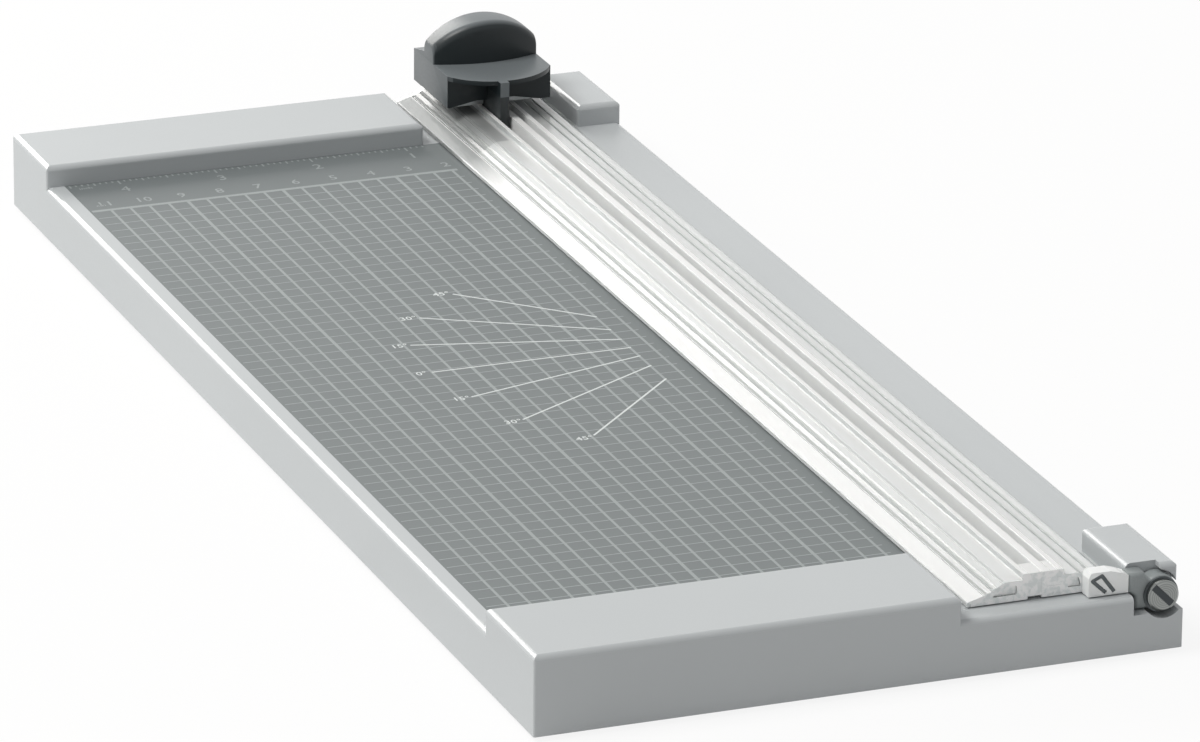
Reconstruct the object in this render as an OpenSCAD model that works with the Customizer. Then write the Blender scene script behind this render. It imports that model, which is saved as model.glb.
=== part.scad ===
// Rotary paper trimmer for A4: a hollow base with a printed bed, a clear clamping rail on a side hinge,
// and a cutter head that runs along the rail and carries a round blade.
// at_cut() sets the working frame: X from the cut line, Y from the base's front face, Z from the bed.

/* [Base] */
// Width of the base
base_w = 153.5; // [145:0.5:200]
// Length of the base
base_l = 373; // [340:1:480]
// Height of the bars' tops above the base's underside
base_h = 18.8; // [17.5:0.1:26]
// Height that the bars stand above the bed
bar_rise = 5.5; // [5:0.1:6.2]
// Distance that the front hinge block stands behind the base's front face
block_set = 4; // [3:0.1:5]
// Length of the rear bar along Y
bar_l = 28; // [25:0.5:40]
// Distance from the base's front face to the front bar's back
front_bar_l = 30.2; // [27:0.1:36]
// Distance from the cut line to the bars' right ends
bar_gap = 20; // [18:0.5:28]
// Distance from the cut line to the base's right side
cut_inset = 33.5; // [33.5:0.5:40]
// Width of the two raised hinge blocks
block_w = 11.5; // [10.5:0.1:11.5]
// Wall of the base moulding
wall = 2.4; // [1.8:0.1:3]
// Radius on the base's top edges
edge_r = 1.4; // [0.6:0.1:2]
// Radius on the base's upright corners
corner_r = 0.5; // [0.3:0.1:1]
// Thickness of the ribs under the bed
rib_t = 1.6; // [1.2:0.1:2.4]

/* [Bed] */
// Width of the plain rim at the left of the printed board
rim_w = 4.6; // [3.5:0.1:8]
// Thickness of the printed board
board_t = 0.8; // [0.5:0.1:1.2]
// Width of the cutting mat strip
mat_w = 8; // [6:0.5:10]
// Thickness of the cutting mat strip
mat_t = 1.2; // [1:0.1:1.6]
// Width of the line pressed into the mat for the blade's edge
mat_line_w = 0.9; // [0.8:0.1:1.4]
// Depth of that line
mat_line_d = 0.6; // [0.5:0.1:0.8]
// Distance from the base's front face to the mat
mat_inset = 9; // [7:0.5:20]
// Distance from the base's rear face to the mat
mat_rear = 5; // [4:0.5:6]

/* [Underside] */
// Thickness of the bottom plate
plate_t = 1.8; // [1.5:0.1:2.4]
// Radius of a rubber foot
foot_r = 6; // [4.5:0.1:8]
// Height of a rubber foot below the base
foot_proud = 1.2; // [0.8:0.1:3]
// Depth that a foot sits in the bottom plate
foot_sink = 0.9; // [0.5:0.1:1.1]
// Distance from the sides to a foot's centre
foot_inset_x = 21; // [19:0.5:30]
// Distance from the ends to a foot's centre
foot_inset_y = 42; // [36:1:60]
// Shank radius of a bottom plate screw
plate_screw_r = 1.4; // [1.2:0.1:1.6]
// Length of a bottom plate screw
plate_screw_l = 7.5; // [5:0.5:8]
// Distance from the left side, and from the hinge blocks, to the bottom plate's outer screws
screw_inset = 8; // [7:0.5:9]

/* [Rail] */
// Distance from the cut line to the rail's left edge
rail_left = 16; // [15:0.5:17.5]
// Distance from the cut line to the rail's right edge
rail_right = 19.5; // [19:0.1:19.5]
// Height of the rail's tracks above the bed
rail_top = 6.4; // [6:0.1:6.6]
// Height of the rail's decks above the bed
deck_z = 5; // [4.8:0.1:5.3]
// Distance from the cut line to the right end of the deck
deck_right = 15.6; // [15:0.1:16.5]
// Distance from the cut line to the left end of the deck
deck_left = 7; // [6:0.1:8]
// Distance from the cut line to the bend in the rail's left slope
bend_left = 11; // [10.5:0.1:12.5]
// Height of that bend above the bed
bend_z = 2.8; // [2.5:0.1:3.2]
// Height of the rail's thin edges above the rail's underside
toe_h = 0.9; // [0.6:0.1:1.2]
// Height of the rail's underside above the bed
rail_gap = 0.9; // [0.7:0.1:1.1]
// Slot to the left of the cut line
slot_left = 1.4; // [1.4:0.1:2]
// Slot to the right of the cut line
slot_right = 1.9; // [1.6:0.1:2]
// Width of the track at the left of the slot
track_left = 1.2; // [1:0.1:1.8]
// Width of the track between the slot and the guide groove
track_mid = 2.1; // [1.8:0.1:2.4]
// Width of the guide groove's mouth
groove_w = 1.7; // [1.5:0.1:2]
// Width of the track at the right of the guide groove
track_right = 1.5; // [1.2:0.1:2]
// Length of solid rail past each end of the slot
slot_end = 6; // [4:0.5:10]
// Distance from the base's front face to the rail's front end
rail_inset = 6.5; // [6:0.5:7]
// Length that the rear end cap reaches behind the base
rail_over = 4.5; // [4.5:0.1:6]
// Thickness of the end caps
cap_t = 2; // [1.8:0.1:2.4]
// Thickness of the soft clamping strips under the rail
strip_t = 0.7; // [0.4:0.1:0.8]
// Distance from the blade's slot to the left clamping strip
strip_gap = 4.6; // [4:0.1:6]
// Distance from the hinge's axis to the end caps
cap_gap = 7.6; // [7.6:0.1:7.8]
// Height that the end caps stand above the rail's deck
cap_rise = 0.9; // [0.8:0.1:1.1]
// Height of the bent clip that pins an end cap to the rail
clip_l = 4.2; // [3.8:0.1:4.3]
// Thickness of the steel in that clip
clip_t = 0.8; // [0.6:0.05:0.9]

/* [Hinge] */
// Distance from the hinge's axis to the base's right side
hinge_inset = 4.7; // [4.5:0.1:5]
// Depth of the hinge's axis below the bed
hinge_drop = 0.8; // [0.5:0.1:1.2]
// Radius of the hinge pin's shoulder
pin_r = 2.4; // [2:0.1:2.6]
// Running clearance of the hinge pin
pin_fit = 0.05; // [0.03:0.01:0.09]
// Radius of the hinge pin's head
pin_head_r = 3.7; // [3.2:0.1:3.9]
// Thickness of the hinge pin's head
pin_head_t = 1.8; // [1.4:0.1:2]
// Bevel round the hinge pin's head
pin_edge = 0.7; // [0.4:0.1:0.8]
// Width of the slot across the hinge pin's head
pin_slot_w = 1.6; // [1:0.1:2]
// Radius of the rounded end of a hinge lug
lug_r = 4.3; // [4:0.1:4.4]
// Thickness of a hinge lug
lug_t = 4; // [3.8:0.1:4.2]
// Height of a hinge lug's upper edge above the bed
lug_top = 4.6; // [4.2:0.1:4.8]
// Thickness of the washer under the pin's head
washer_t = 0.5; // [0.4:0.1:0.6]
// Outer radius of that washer
washer_r = 4.1; // [4:0.1:4.3]
// Depth of the pocket that the front lug lies in
pocket_l = 6.7; // [6.7:0.1:7.2]
// Radius of the pocket's arched upper edge
pocket_r = 13; // [13:0.1:13.4]
// Outer radius of the threaded inserts
insert_r = 3.2; // [3:0.1:3.4]
// Length of the threaded inserts
insert_l = 8; // [6:0.5:10]

/* [Cutter head] */
// Distance from the cut line to the head's left side
head_left = 12; // [11.6:0.1:13.5]
// Distance from the cut line to the head's right side
head_right = 15.9; // [14.6:0.1:16.5]
// Length of the head along Y
head_l = 25; // [24.5:0.5:30]
// Height of the head's underside above the bed
head_z = 7.5; // [7.5:0.1:8]
// Height of the head's lower block
head_h = 8.5; // [8.4:0.1:10]
// Wall of the head's shell
head_wall = 1.8; // [1.4:0.1:2]
// Length that the head's shelf bows forward
bow_l = 8; // [6:0.5:8.5]
// Thickness of the shelf where it overhangs
bow_t = 1.2; // [0.8:0.1:1.6]
// Height of the underside's middle, over the tracks, above its ends
under_rise = 1.3; // [1:0.1:1.6]
// Height of the grip's straight sides above the shelf
grip_side = 4.5; // [4:0.1:7]
// Height of the grip's arched top above its straight sides
grip_arch = 6.5; // [4:0.1:8]
// Thickness of the grip at its ends
grip_l = 7; // [6.5:0.1:8]
// Bulge of the grip's front face
grip_bulge = 3; // [1:0.1:3.2]
// Distance from the head's sides to the springs
spring_inset = 5.2; // [5:0.1:5.4]
// Length of a glide pad
pad_l = 4; // [3:0.1:4.5]
// Distance from the head's ends to the glide pads
pad_inset = 3; // [2.8:0.1:3.4]
// Travel of the head when it is pressed down
press = 0.9; // [0.6:0.1:0.9]

/* [Blade] */
// Radius of the blade
blade_r = 7.5; // [7.2:0.1:7.6]
// Thickness of the blade
blade_t = 0.3; // [0.3:0.1:0.4]
// Height of the blade's edge above the bed before the head is pressed
blade_lift = 0.7; // [0.6:0.1:1]
// Width of the fin that holds the blade
fin_w = 2.4; // [2.2:0.1:2.4]
// Length that the fin reaches in front of the head
fin_l = 9.5; // [9:0.1:11]
// Distance from the head's underside up to the fin's top
nose_drop = 4.6; // [4.4:0.1:4.8]
// Radius of the blade's axle
axle_r = 1.5; // [1.2:0.1:1.8]
// Outer radius of the bush in the blade
bush_r = 2.6; // [2.4:0.1:3]
// Half the width of the flanges that hold the carrier in the head
flange_w = 5; // [4.8:0.1:5.2]
// Length of each of these flanges
flange_l = 4.2; // [4:0.1:4.4]

/* [Hidden] */

// Circle facets, and the small overlap that keeps two cuts from sharing a face
$fn = 64;
eps = 0.01;
// Gap between pieces that lie loosely against each other
loose = 0.15;
// Gap between a moving piece and what it passes
run_gap = 0.3;

// The base's sides and levels in the working frame
left = -(base_w - cut_inset);
right = cut_inset;
under = bar_rise - base_h;
block_x = right - block_w;
back_bar_y = base_l - bar_l;
bars = [[0, front_bar_l], [back_bar_y, base_l]];
plate_top = under + plate_t;

// The rail's and the hinge's places
rail_y1 = base_l + rail_over - cap_t;
hinge_x = right - hinge_inset;
hinge_z = -hinge_drop;
deck_under = rail_gap + toe_h;
tracks_x0 = -slot_left - track_left;
groove_x = slot_right + track_mid;
tracks_x1 = groove_x + groove_w + track_right;
slot_y0 = rail_inset + slot_end;
slot_y1 = rail_y1 - slot_end / 3;
cap_x0 = deck_right - 4;
cap_x1 = hinge_x - cap_gap;
clip_x = cap_x0 + clip_l * 0.77;
clip_z = rail_gap + clip_l / 2;
clip_bends = [[0.24, -0.5], [-0.56, 0.24], [-0.02, 0.48], [0.72, -0.5]] * clip_l;
cap_z0 = rail_gap - strip_t + 0.1;
lug_z0 = -hinge_drop - 3.2;
front_lug_y = pocket_l - run_gap - lug_t;
rear_lug_y = base_l + run_gap;
lug_gap = 0.1;
insert_bore_r = pin_r - 0.4;
thread_r = insert_bore_r - 0.05;
rear_over = run_gap + lug_t + lug_gap + washer_t + pin_head_t;

// The head's places, with the head parked at the rail's rear end
head_y1 = rail_y1 - 1.5;
head_y0 = head_y1 - head_l;
head_cx = (head_right - head_left) / 2;
blade_y = head_y1 - head_l / 2 + 1.7;
blade_z = blade_lift + blade_r;
shelf_z = head_z + head_h;
grip_y0 = blade_y - grip_l / 2;
fin_y0 = head_y0 - fin_l;
fin_y1 = blade_y + blade_r + 0.5;
fin_z0 = rail_gap + press;
fin_z1 = head_z + nose_drop;
slit_w = blade_t + 0.5;

// The carriage plate inside the head, and the springs on it
plate_z = rail_top + 0.6;
sheet_t = 1.2;
spring_z0 = plate_z + sheet_t;
spring_z1 = shelf_z - head_wall - 0.6;
spring_x = [-head_left + spring_inset, head_right - spring_inset];
spring_r = 1.9;
wire_r = 0.3;
screw_r = 1.2;
neck_w = groove_w - 0.6;
shoe_z1 = deck_z - 0.6;
shoe_z0 = shoe_z1 - 1.3;
shoe_side = 1;

// Places of what repeats
foot_x = [left + foot_inset_x, right - foot_inset_x];
foot_y = [foot_inset_y, base_l - foot_inset_y];
screw_x = [left + screw_inset, (left + right) / 2, block_x - screw_inset];
screw_y = [bar_l / 2, base_l - bar_l / 2];
boss_r = plate_screw_r + 2;

// Part frame: origin under the middle of the whole object
cut_x = base_w / 2 - cut_inset;
front_y = -(base_l + rear_over) / 2;
bed_z = foot_proud - under;

module at_cut() {
    translate([cut_x, front_y, bed_z]) children();
}

// A shape drawn in X and Z, carried along Y from y0 to y1
module along_y(y0, y1) {
    translate([0, y1, 0]) rotate([90, 0, 0]) linear_extrude(y1 - y0) children();
}

// A shape drawn in Y and Z, carried along X from x0 to x1
module along_x(x0, x1) {
    translate([x0, 0, 0]) rotate([90, 0, 90]) linear_extrude(x1 - x0) children();
}

// A cylinder along Y
module rod_y(r, y0, y1) {
    translate([0, y1, 0]) rotate([90, 0, 0]) cylinder(r = r, h = y1 - y0);
}

// A cylinder along X
module rod_x(r, x0, x1) {
    translate([x0, 0, 0]) rotate([0, 90, 0]) cylinder(r = r, h = x1 - x0);
}

// A rectangle with all four corners rounded
module round_rect(x0, x1, y0, y1, r) {
    translate([x0 + r, y0]) square([x1 - x0 - 2 * r, y1 - y0]);
    translate([x0, y0 + r]) square([x1 - x0, y1 - y0 - 2 * r]);
    for (x = [x0 + r, x1 - r], y = [y0 + r, y1 - r]) translate([x, y]) circle(r);
}

// A rectangle with its two top corners rounded
module round_top(x0, x1, y0, y1, r) {
    translate([x0, y0]) square([x1 - x0, y1 - y0 - r]);
    translate([x0 + r, y0]) square([x1 - x0 - 2 * r, y1 - y0]);
    for (x = [x0 + r, x1 - r]) translate([x, y1 - r]) circle(r);
}

// A block with rounded upright edges and rounded top edges
module soft_block(x0, x1, y0, y1, z0, z1, r) {
    intersection() {
        translate([0, 0, z0]) linear_extrude(z1 - z0) round_rect(x0, x1, y0, y1, corner_r);
        along_y(y0, y1) round_top(x0, x1, z0, z1, r);
        along_x(x0, x1) round_top(y0, y1, z0, z1, r);
    }
}

module block(x0, x1, y0, y1, z0, z1) {
    translate([x0, y0, z0]) cube([x1 - x0, y1 - y0, z1 - z0]);
}

// Hollows between the ribs under the bed
module rib_pockets(nx, ny) {
    x0 = left + wall;
    y0 = wall;
    dx = (right - wall - x0 + rib_t) / nx;
    dy = (base_l - wall - y0 + rib_t) / ny;
    for (i = [0:nx - 1], j = [0:ny - 1])
        block(x0 + i * dx, x0 + (i + 1) * dx - rib_t, y0 + j * dy, y0 + (j + 1) * dy - rib_t,
            under - 1, -mat_t - wall);
}

// The pocket in the front hinge block: arched above, round about the pin below
module lug_pocket() {
    arc_x = block_x - 0.6;
    arc_z = bar_rise + 1.6 - pocket_r;
    along_y(-1, pocket_l) {
        intersection() {
            translate([arc_x, arc_z]) circle(pocket_r);
            translate([arc_x, lug_z0 - run_gap]) square([pocket_r, pocket_r * 2]);
        }
        translate([hinge_x, hinge_z]) circle(lug_r + 0.7);
        translate([arc_x, lug_z0 - run_gap]) square([hinge_x + 0.6 - arc_x, bar_rise - lug_z0 + 1]);
    }
}

module base_shell() {
    color("#c6c9c9") at_cut() difference() {
        union() {
            difference() {
                union() {
                    soft_block(left, right, 0, base_l, under, 0, edge_r);
                    for (y = bars) soft_block(left, -bar_gap, y[0], y[1], under, bar_rise, edge_r);
                    soft_block(block_x, right, block_set, front_bar_l, under, bar_rise, edge_r);
                    soft_block(block_x, right, back_bar_y, base_l, under, bar_rise, edge_r);
                }
                rib_pockets(3, 7);
                for (y = bars)
                    block(left + wall, -bar_gap - wall, y[0] + wall, y[1] - wall, under - 1, bar_rise - wall);
            }
            for (y = bars) block(block_x, right - 1, max(y[0], wall), y[1] - wall / 2, under + plate_t, 0);
            for (x = screw_x, y = screw_y) translate([x, y, plate_top])
                cylinder(r = boss_r, h = (x < -bar_gap ? bar_rise - wall / 2 : -wall / 2) - plate_top);
        }
        block(left + wall, right - wall, wall, base_l - wall, under - 1, plate_top);
        block(left + rim_w, -mat_w / 2 - 1, front_bar_l, back_bar_y, -board_t, 1);
        block(-mat_w / 2 - loose, mat_w / 2 + loose, mat_inset, base_l - mat_rear, -mat_t, 1);
        lug_pocket();
        translate([hinge_x, 0, hinge_z]) rod_y(insert_r, -1, pocket_l + insert_l + 1);
        translate([hinge_x, 0, hinge_z]) rod_y(insert_r, base_l - insert_l - 1, base_l + 1);
        for (x = screw_x, y = screw_y)
            translate([x, y, plate_top - 1]) cylinder(r = plate_screw_r, h = plate_screw_l + 1.5 - plate_t);
    }
}

module bottom_plate() {
    color("#8d9293") at_cut() difference() {
        block(left + wall + loose, right - wall - loose, wall + loose, base_l - wall - loose, under, plate_top);
        for (x = foot_x, y = foot_y) translate([x, y, under - 1]) cylinder(r = foot_r, h = 1 + foot_sink);
        for (x = screw_x, y = screw_y) {
            translate([x, y, under - 1]) cylinder(r = plate_screw_r + loose, h = plate_t + 2);
            translate([x, y, under - eps])
                cylinder(r1 = plate_screw_r * 2 + loose, r2 = plate_screw_r + loose, h = plate_screw_r);
        }
    }
}

module plate_screws() {
    color("#9ea2a3") at_cut() for (x = screw_x, y = screw_y) translate([x, y, under]) difference() {
        union() {
            cylinder(r1 = plate_screw_r * 2, r2 = plate_screw_r, h = plate_screw_r);
            cylinder(r = plate_screw_r, h = plate_screw_l);
        }
        for (a = [0, 90]) rotate([0, 0, a]) block(-1.6, 1.6, -0.35, 0.35, -1, 0.9);
    }
}

module rubber_feet() {
    color("#2d2f30") at_cut() for (x = foot_x, y = foot_y) translate([x, y, under - foot_proud])
        rotate_extrude() {
            square([foot_r - 0.4, foot_proud + foot_sink]);
            translate([0, 0.4]) square([foot_r, foot_proud + foot_sink - 0.4]);
        }
}

module bed_board() {
    color("#848b8b") at_cut() block(left + rim_w, -mat_w / 2 - 1, front_bar_l, back_bar_y, -board_t, 0);
}

module cutting_mat() {
    color("#b9bcbc") at_cut() difference() {
        block(-mat_w / 2, mat_w / 2, mat_inset + loose, base_l - mat_rear - loose, -mat_t, 0);
        block(-mat_line_w / 2, mat_line_w / 2, mat_inset, base_l - mat_rear, -mat_line_d, 1);
    }
}

// A threaded sleeve pressed into a hinge block
module hinge_insert(y0) {
    color("#b79a5b") at_cut() translate([hinge_x, 0, hinge_z]) difference() {
        rod_y(insert_r, y0, y0 + insert_l);
        rod_y(insert_bore_r, y0 - 1, y0 + insert_l + 1);
    }
}

module hinge_insert_front() {
    hinge_insert(pocket_l);
}

module hinge_insert_rear() {
    hinge_insert(base_l - insert_l);
}

// A slotted shoulder screw with its head's outer face at y = 0 and its shank along +Y
module shoulder_pin() {
    shoulder_l = washer_t + lug_gap + lug_t + run_gap;
    difference() {
        union() {
            rotate([-90, 0, 0]) cylinder(r1 = pin_head_r - pin_edge, r2 = pin_head_r, h = pin_edge);
            rod_y(pin_head_r, pin_edge, pin_head_t);
            rod_y(pin_r, pin_head_t, pin_head_t + shoulder_l);
            rod_y(thread_r, pin_head_t + shoulder_l, pin_head_t + shoulder_l + insert_l - 1);
        }
        rotate([0, 45, 0]) block(-pin_head_r, pin_head_r, -1, 0.9, -pin_slot_w / 2, pin_slot_w / 2);
    }
}

module hinge_pin_front() {
    color("#9aa0a0") at_cut() translate([hinge_x, front_lug_y - lug_gap - washer_t - pin_head_t, hinge_z])
        shoulder_pin();
}

module hinge_pin_rear() {
    color("#9aa0a0") at_cut() translate([hinge_x, base_l + rear_over, hinge_z]) rotate([0, 0, 180])
        shoulder_pin();
}

module hinge_washer(y0) {
    color("#6d7272") at_cut() translate([hinge_x, 0, hinge_z]) difference() {
        rod_y(washer_r, y0, y0 + washer_t);
        rod_y(pin_r + pin_fit, y0 - 1, y0 + washer_t + 1);
    }
}

module hinge_washer_front() {
    hinge_washer(front_lug_y - lug_gap - washer_t);
}

module hinge_washer_rear() {
    hinge_washer(rear_lug_y + lug_t + lug_gap);
}

// Outline of the rail's section without its slot and groove
module rail_outline() {
    polygon([[-rail_left, rail_gap], [rail_right, rail_gap], [rail_right, deck_under], [deck_right, deck_z],
        [-deck_left, deck_z], [-bend_left, bend_z], [-rail_left, rail_gap + toe_h / 2]]);
    translate([tracks_x0, deck_z - 1]) square([tracks_x1 - tracks_x0, rail_top - deck_z + 1]);
}

// Hollows that run the whole length of the rail, and the fine grooves on its top
module rail_hollows() {
    slope = (deck_z - bend_z) / (bend_left - deck_left);
    skin = 1;
    polygon([[-bend_left + 1, deck_under], [tracks_x0 - 1.4, deck_under],
        [tracks_x0 - 1.4, deck_z - skin], [-deck_left, deck_z - skin]]);
    polygon([[tracks_x1 + 1, deck_under], [tracks_x1 + 4.2, deck_under],
        [tracks_x1 + 3.6, deck_z - skin], [tracks_x1 + 1, deck_z - skin]]);
    for (x = [2.4, 3.8]) translate([-deck_left - x, deck_z - x * slope]) circle(0.28, $fn = 24);
    for (x = [3, 3.8]) translate([deck_right - x, deck_z]) circle(0.22, $fn = 24);
}

module clear_rail() {
    color("#e9eeee", 0.6) at_cut() difference() {
        along_y(rail_inset, rail_y1) difference() {
            rail_outline();
            rail_hollows();
        }
        along_y(rail_inset - 1, rail_inset + 4) leaf_section(0.05);
        along_y(rail_y1 - 4, rail_y1 + 1) leaf_section(0.05);
        block(-slot_left, slot_right, slot_y0, slot_y1, -1, rail_top + 1);
        block(groove_x, groove_x + groove_w, slot_y0, slot_y1, shoe_z0 - run_gap, rail_top + 1);
        block(groove_x - shoe_side, groove_x + groove_w + shoe_side, slot_y0, slot_y1, shoe_z0 - run_gap,
            shoe_z1 + run_gap);
    }
}

// Section of the part of an end cap that covers the rail's right half
module cap_outline() {
    polygon([[cap_x0, cap_z0], [cap_x1, cap_z0], [cap_x1, deck_z - 0.6], [cap_x1 - 2, deck_z + 0.2],
        [cap_x1 - 4.4, deck_z + cap_rise], [cap_x0 + 0.6, deck_z + cap_rise], [cap_x0, deck_z - 0.4]]);
}

// The lug's tongue, which lies in the thick right end of a cap
module tongue(y0, y1, grow) {
    block(cap_x1 - 3 - grow, cap_x1 + 1.5, y0 + 0.5 - grow, y1 - 0.5 + grow, 1.6 - grow, 3 + grow);
}

// A strip of thickness t from bend to bend, in the section of the clip; it turns right at each bend
module strip(bends, t) {
    last = len(bends) - 1;
    left = [for (i = [0:last - 1]) let(run = bends[i + 1] - bends[i]) [-run[1], run[0]] / norm(run)];
    outside = [for (i = [0:last]) let(a = left[max(i - 1, 0)], b = left[min(i, last - 1)])
        each [for (v = i == 0 || i == last ? [a + b] : [a, a + b, b]) bends[i] + v / norm(v) * t / 2]];
    inside = [for (i = [last:-1:0]) let(a = left[max(i - 1, 0)], b = left[min(i, last - 1)])
        bends[i] - (a + b) / (1 + a * b) * t / 2];
    translate([clip_x, clip_z]) polygon(concat(outside, inside));
}

// A bent steel clip that pins a cap to the rail, seen from the end as a U lying aslant in the cap
module clip_section(grow) {
    strip(clip_bends, clip_t + 2 * grow);
}

// The lower leg of the clip, which goes on into the rail
module leaf_section(grow) {
    leg = clip_bends[1] - clip_bends[0];
    strip([clip_bends[0] + leg * 0.25, clip_bends[0] + leg * 0.75], clip_t + 2 * grow);
}

module end_cap_front() {
    y0 = front_lug_y + 0.4;
    color("#dfe6e6", 0.7) at_cut() difference() {
        along_y(y0, rail_inset) cap_outline();
        along_y(0, rail_inset + 1) clip_section(0.05);
        tongue(y0, front_lug_y + lug_t, 0.05);
    }
}

module end_cap_rear() {
    y1 = rear_lug_y + lug_t;
    color("#dfe6e6", 0.7) at_cut() difference() {
        along_y(rail_y1, rail_y1 + cap_t) {
            rail_outline();
            cap_outline();
        }
        along_y(rail_y1 - 1, y1 + 1) clip_section(0.05);
        tongue(rail_y1, y1, 0.05);
    }
}

// The lug's eye and arm, with a tongue that lies in the end cap from ty0 to ty1
module hinge_lug(y0, ty0, ty1) {
    x0 = cap_x1 + 0.05;
    rise = lug_top - hinge_z;
    color("#6f7575") at_cut() difference() {
        union() {
            along_y(y0, y0 + lug_t) {
                translate([hinge_x, hinge_z]) circle(lug_r);
                polygon([[x0, lug_top], [hinge_x - rise * 0.722, lug_top], [hinge_x, hinge_z], [hinge_x, lug_z0],
                    [hinge_x - 6, lug_z0], [hinge_x - 6, hinge_z], [x0, hinge_z + 1.2]]);
            }
            tongue(ty0, ty1, 0);
        }
        translate([hinge_x, 0, hinge_z]) rod_y(pin_r + pin_fit, y0 - 1, y0 + lug_t + 1);
    }
}

module hinge_lug_front() {
    hinge_lug(front_lug_y, front_lug_y + 0.4, front_lug_y + lug_t);
}

module hinge_lug_rear() {
    hinge_lug(rear_lug_y, rail_y1, rear_lug_y + lug_t);
}

// The clip's U from y0 to y1, with its leaf from l0 to l1
module cap_clip(y0, y1, l0, l1) {
    color("#565b5c") at_cut() {
        along_y(y0, y1) clip_section(0);
        along_y(l0, l1) leaf_section(-0.05);
    }
}

module cap_clip_front() {
    y0 = front_lug_y + 0.6;
    cap_clip(y0, rail_inset - 0.1, rail_inset - 0.5, rail_inset + 3.9);
}

module cap_clip_rear() {
    y1 = rear_lug_y + lug_t - 0.2;
    cap_clip(rail_y1 + 0.1, y1, rail_y1 - 3.9, rail_y1 + 0.5);
}

module clamp_strip(x0, x1) {
    color("#cfd3d3") at_cut() block(x0, x1, slot_y0, slot_y1, rail_gap - strip_t, rail_gap);
}

module clamp_strip_left() {
    clamp_strip(-rail_left + 1, -slot_left - strip_gap);
}

module clamp_strip_right() {
    clamp_strip(groove_x + groove_w + 2, rail_right - 1.5);
}

// U-shaped steel plate that lies on the tracks inside the head
module slide_carriage() {
    y0 = head_y0 + head_wall + run_gap;
    y1 = head_y1 - head_wall - run_gap;
    color("#a3a8a8") at_cut() difference() {
        block(-head_left + head_wall + run_gap, head_right - head_wall - run_gap, y0, y1, plate_z, spring_z0);
        block(-fin_w / 2 - run_gap, fin_w / 2 + run_gap, y0 - 1, fin_y1 + run_gap, plate_z - 1, spring_z0 + 1);
        for (x = spring_x) translate([x, blade_y, plate_z - 1]) cylinder(r = screw_r + run_gap, h = sheet_t + 2);
    }
}

// Pads of slippery plastic under the carriage, which rest on the tracks
module glide_pads() {
    color("#e4e4e0") at_cut() for (y = [head_y0 + pad_inset, head_y1 - pad_inset - pad_l]) {
        block(tracks_x0 + 0.1, -slot_left - 0.1, y, y + pad_l, rail_top + 0.05, plate_z);
        block(slot_right + 0.1, groove_x - 0.1, y, y + pad_l, rail_top + 0.05, plate_z);
    }
}

// T-shaped shoe that runs in the rail's guide groove and holds the carriage down
module guide_shoe() {
    mid = groove_x + groove_w / 2;
    half = groove_w / 2 + shoe_side - run_gap;
    color("#d8d8d2") at_cut() union() {
        block(mid - neck_w / 2, mid + neck_w / 2, head_y0 + 4, head_y1 - 4, shoe_z0, plate_z);
        block(mid - half, mid + half, head_y0 + 4, head_y1 - 4, shoe_z0, shoe_z1);
    }
}

// Plan of the grip: straight at the back, bulging at the front
module grip_plan() {
    half = (head_left + head_right) / 2;
    rise = grip_bulge - run_gap;
    r = (half * half + rise * rise) / (2 * rise);
    translate([-head_left, grip_y0]) square([2 * half, grip_l]);
    intersection() {
        translate([head_cx, grip_y0 - grip_bulge + r]) circle(r, $fn = 128);
        translate([-head_left, grip_y0 - grip_bulge - 1]) square([2 * half, grip_bulge + 2]);
    }
}

// Front view of the grip: straight sides under an arched top
module grip_front() {
    half = (head_left + head_right) / 2;
    rise = grip_arch - run_gap;
    r = (half * half + rise * rise) / (2 * rise);
    top = shelf_z + grip_side + grip_arch;
    translate([-head_left, shelf_z - 1]) square([2 * half, grip_side + 1]);
    intersection() {
        translate([head_cx, top - r]) circle(r, $fn = 128);
        translate([-head_left, shelf_z]) square([2 * half, grip_side + grip_arch]);
    }
}

// The shelf that bows forward over the blade's fin, and the nose that holds it up
module bow() {
    half = (head_left + head_right) / 2;
    rise = bow_l + run_gap;
    r = (half * half + rise * rise) / (2 * rise);
    cy = head_y0 - bow_l + r;
    intersection() {
        translate([head_cx, cy, shelf_z - bow_t]) cylinder(r = r, h = bow_t, $fn = 128);
        block(-head_left, head_right, head_y0 - bow_l - 1, head_y0 + 1, head_z, shelf_z);
    }
    block(-fin_w / 2, fin_w / 2, fin_y0, head_y0 + 1, fin_z1, shelf_z);
}

// What is cut from under the head, so that its middle clears the tracks
module under_cut() {
    polygon([[-head_left * 1.43, head_z - 1], [-head_left * 0.34, head_z + under_rise],
        [head_right * 0.38, head_z + under_rise], [head_right * 1.13, head_z - 1]]);
}

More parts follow.
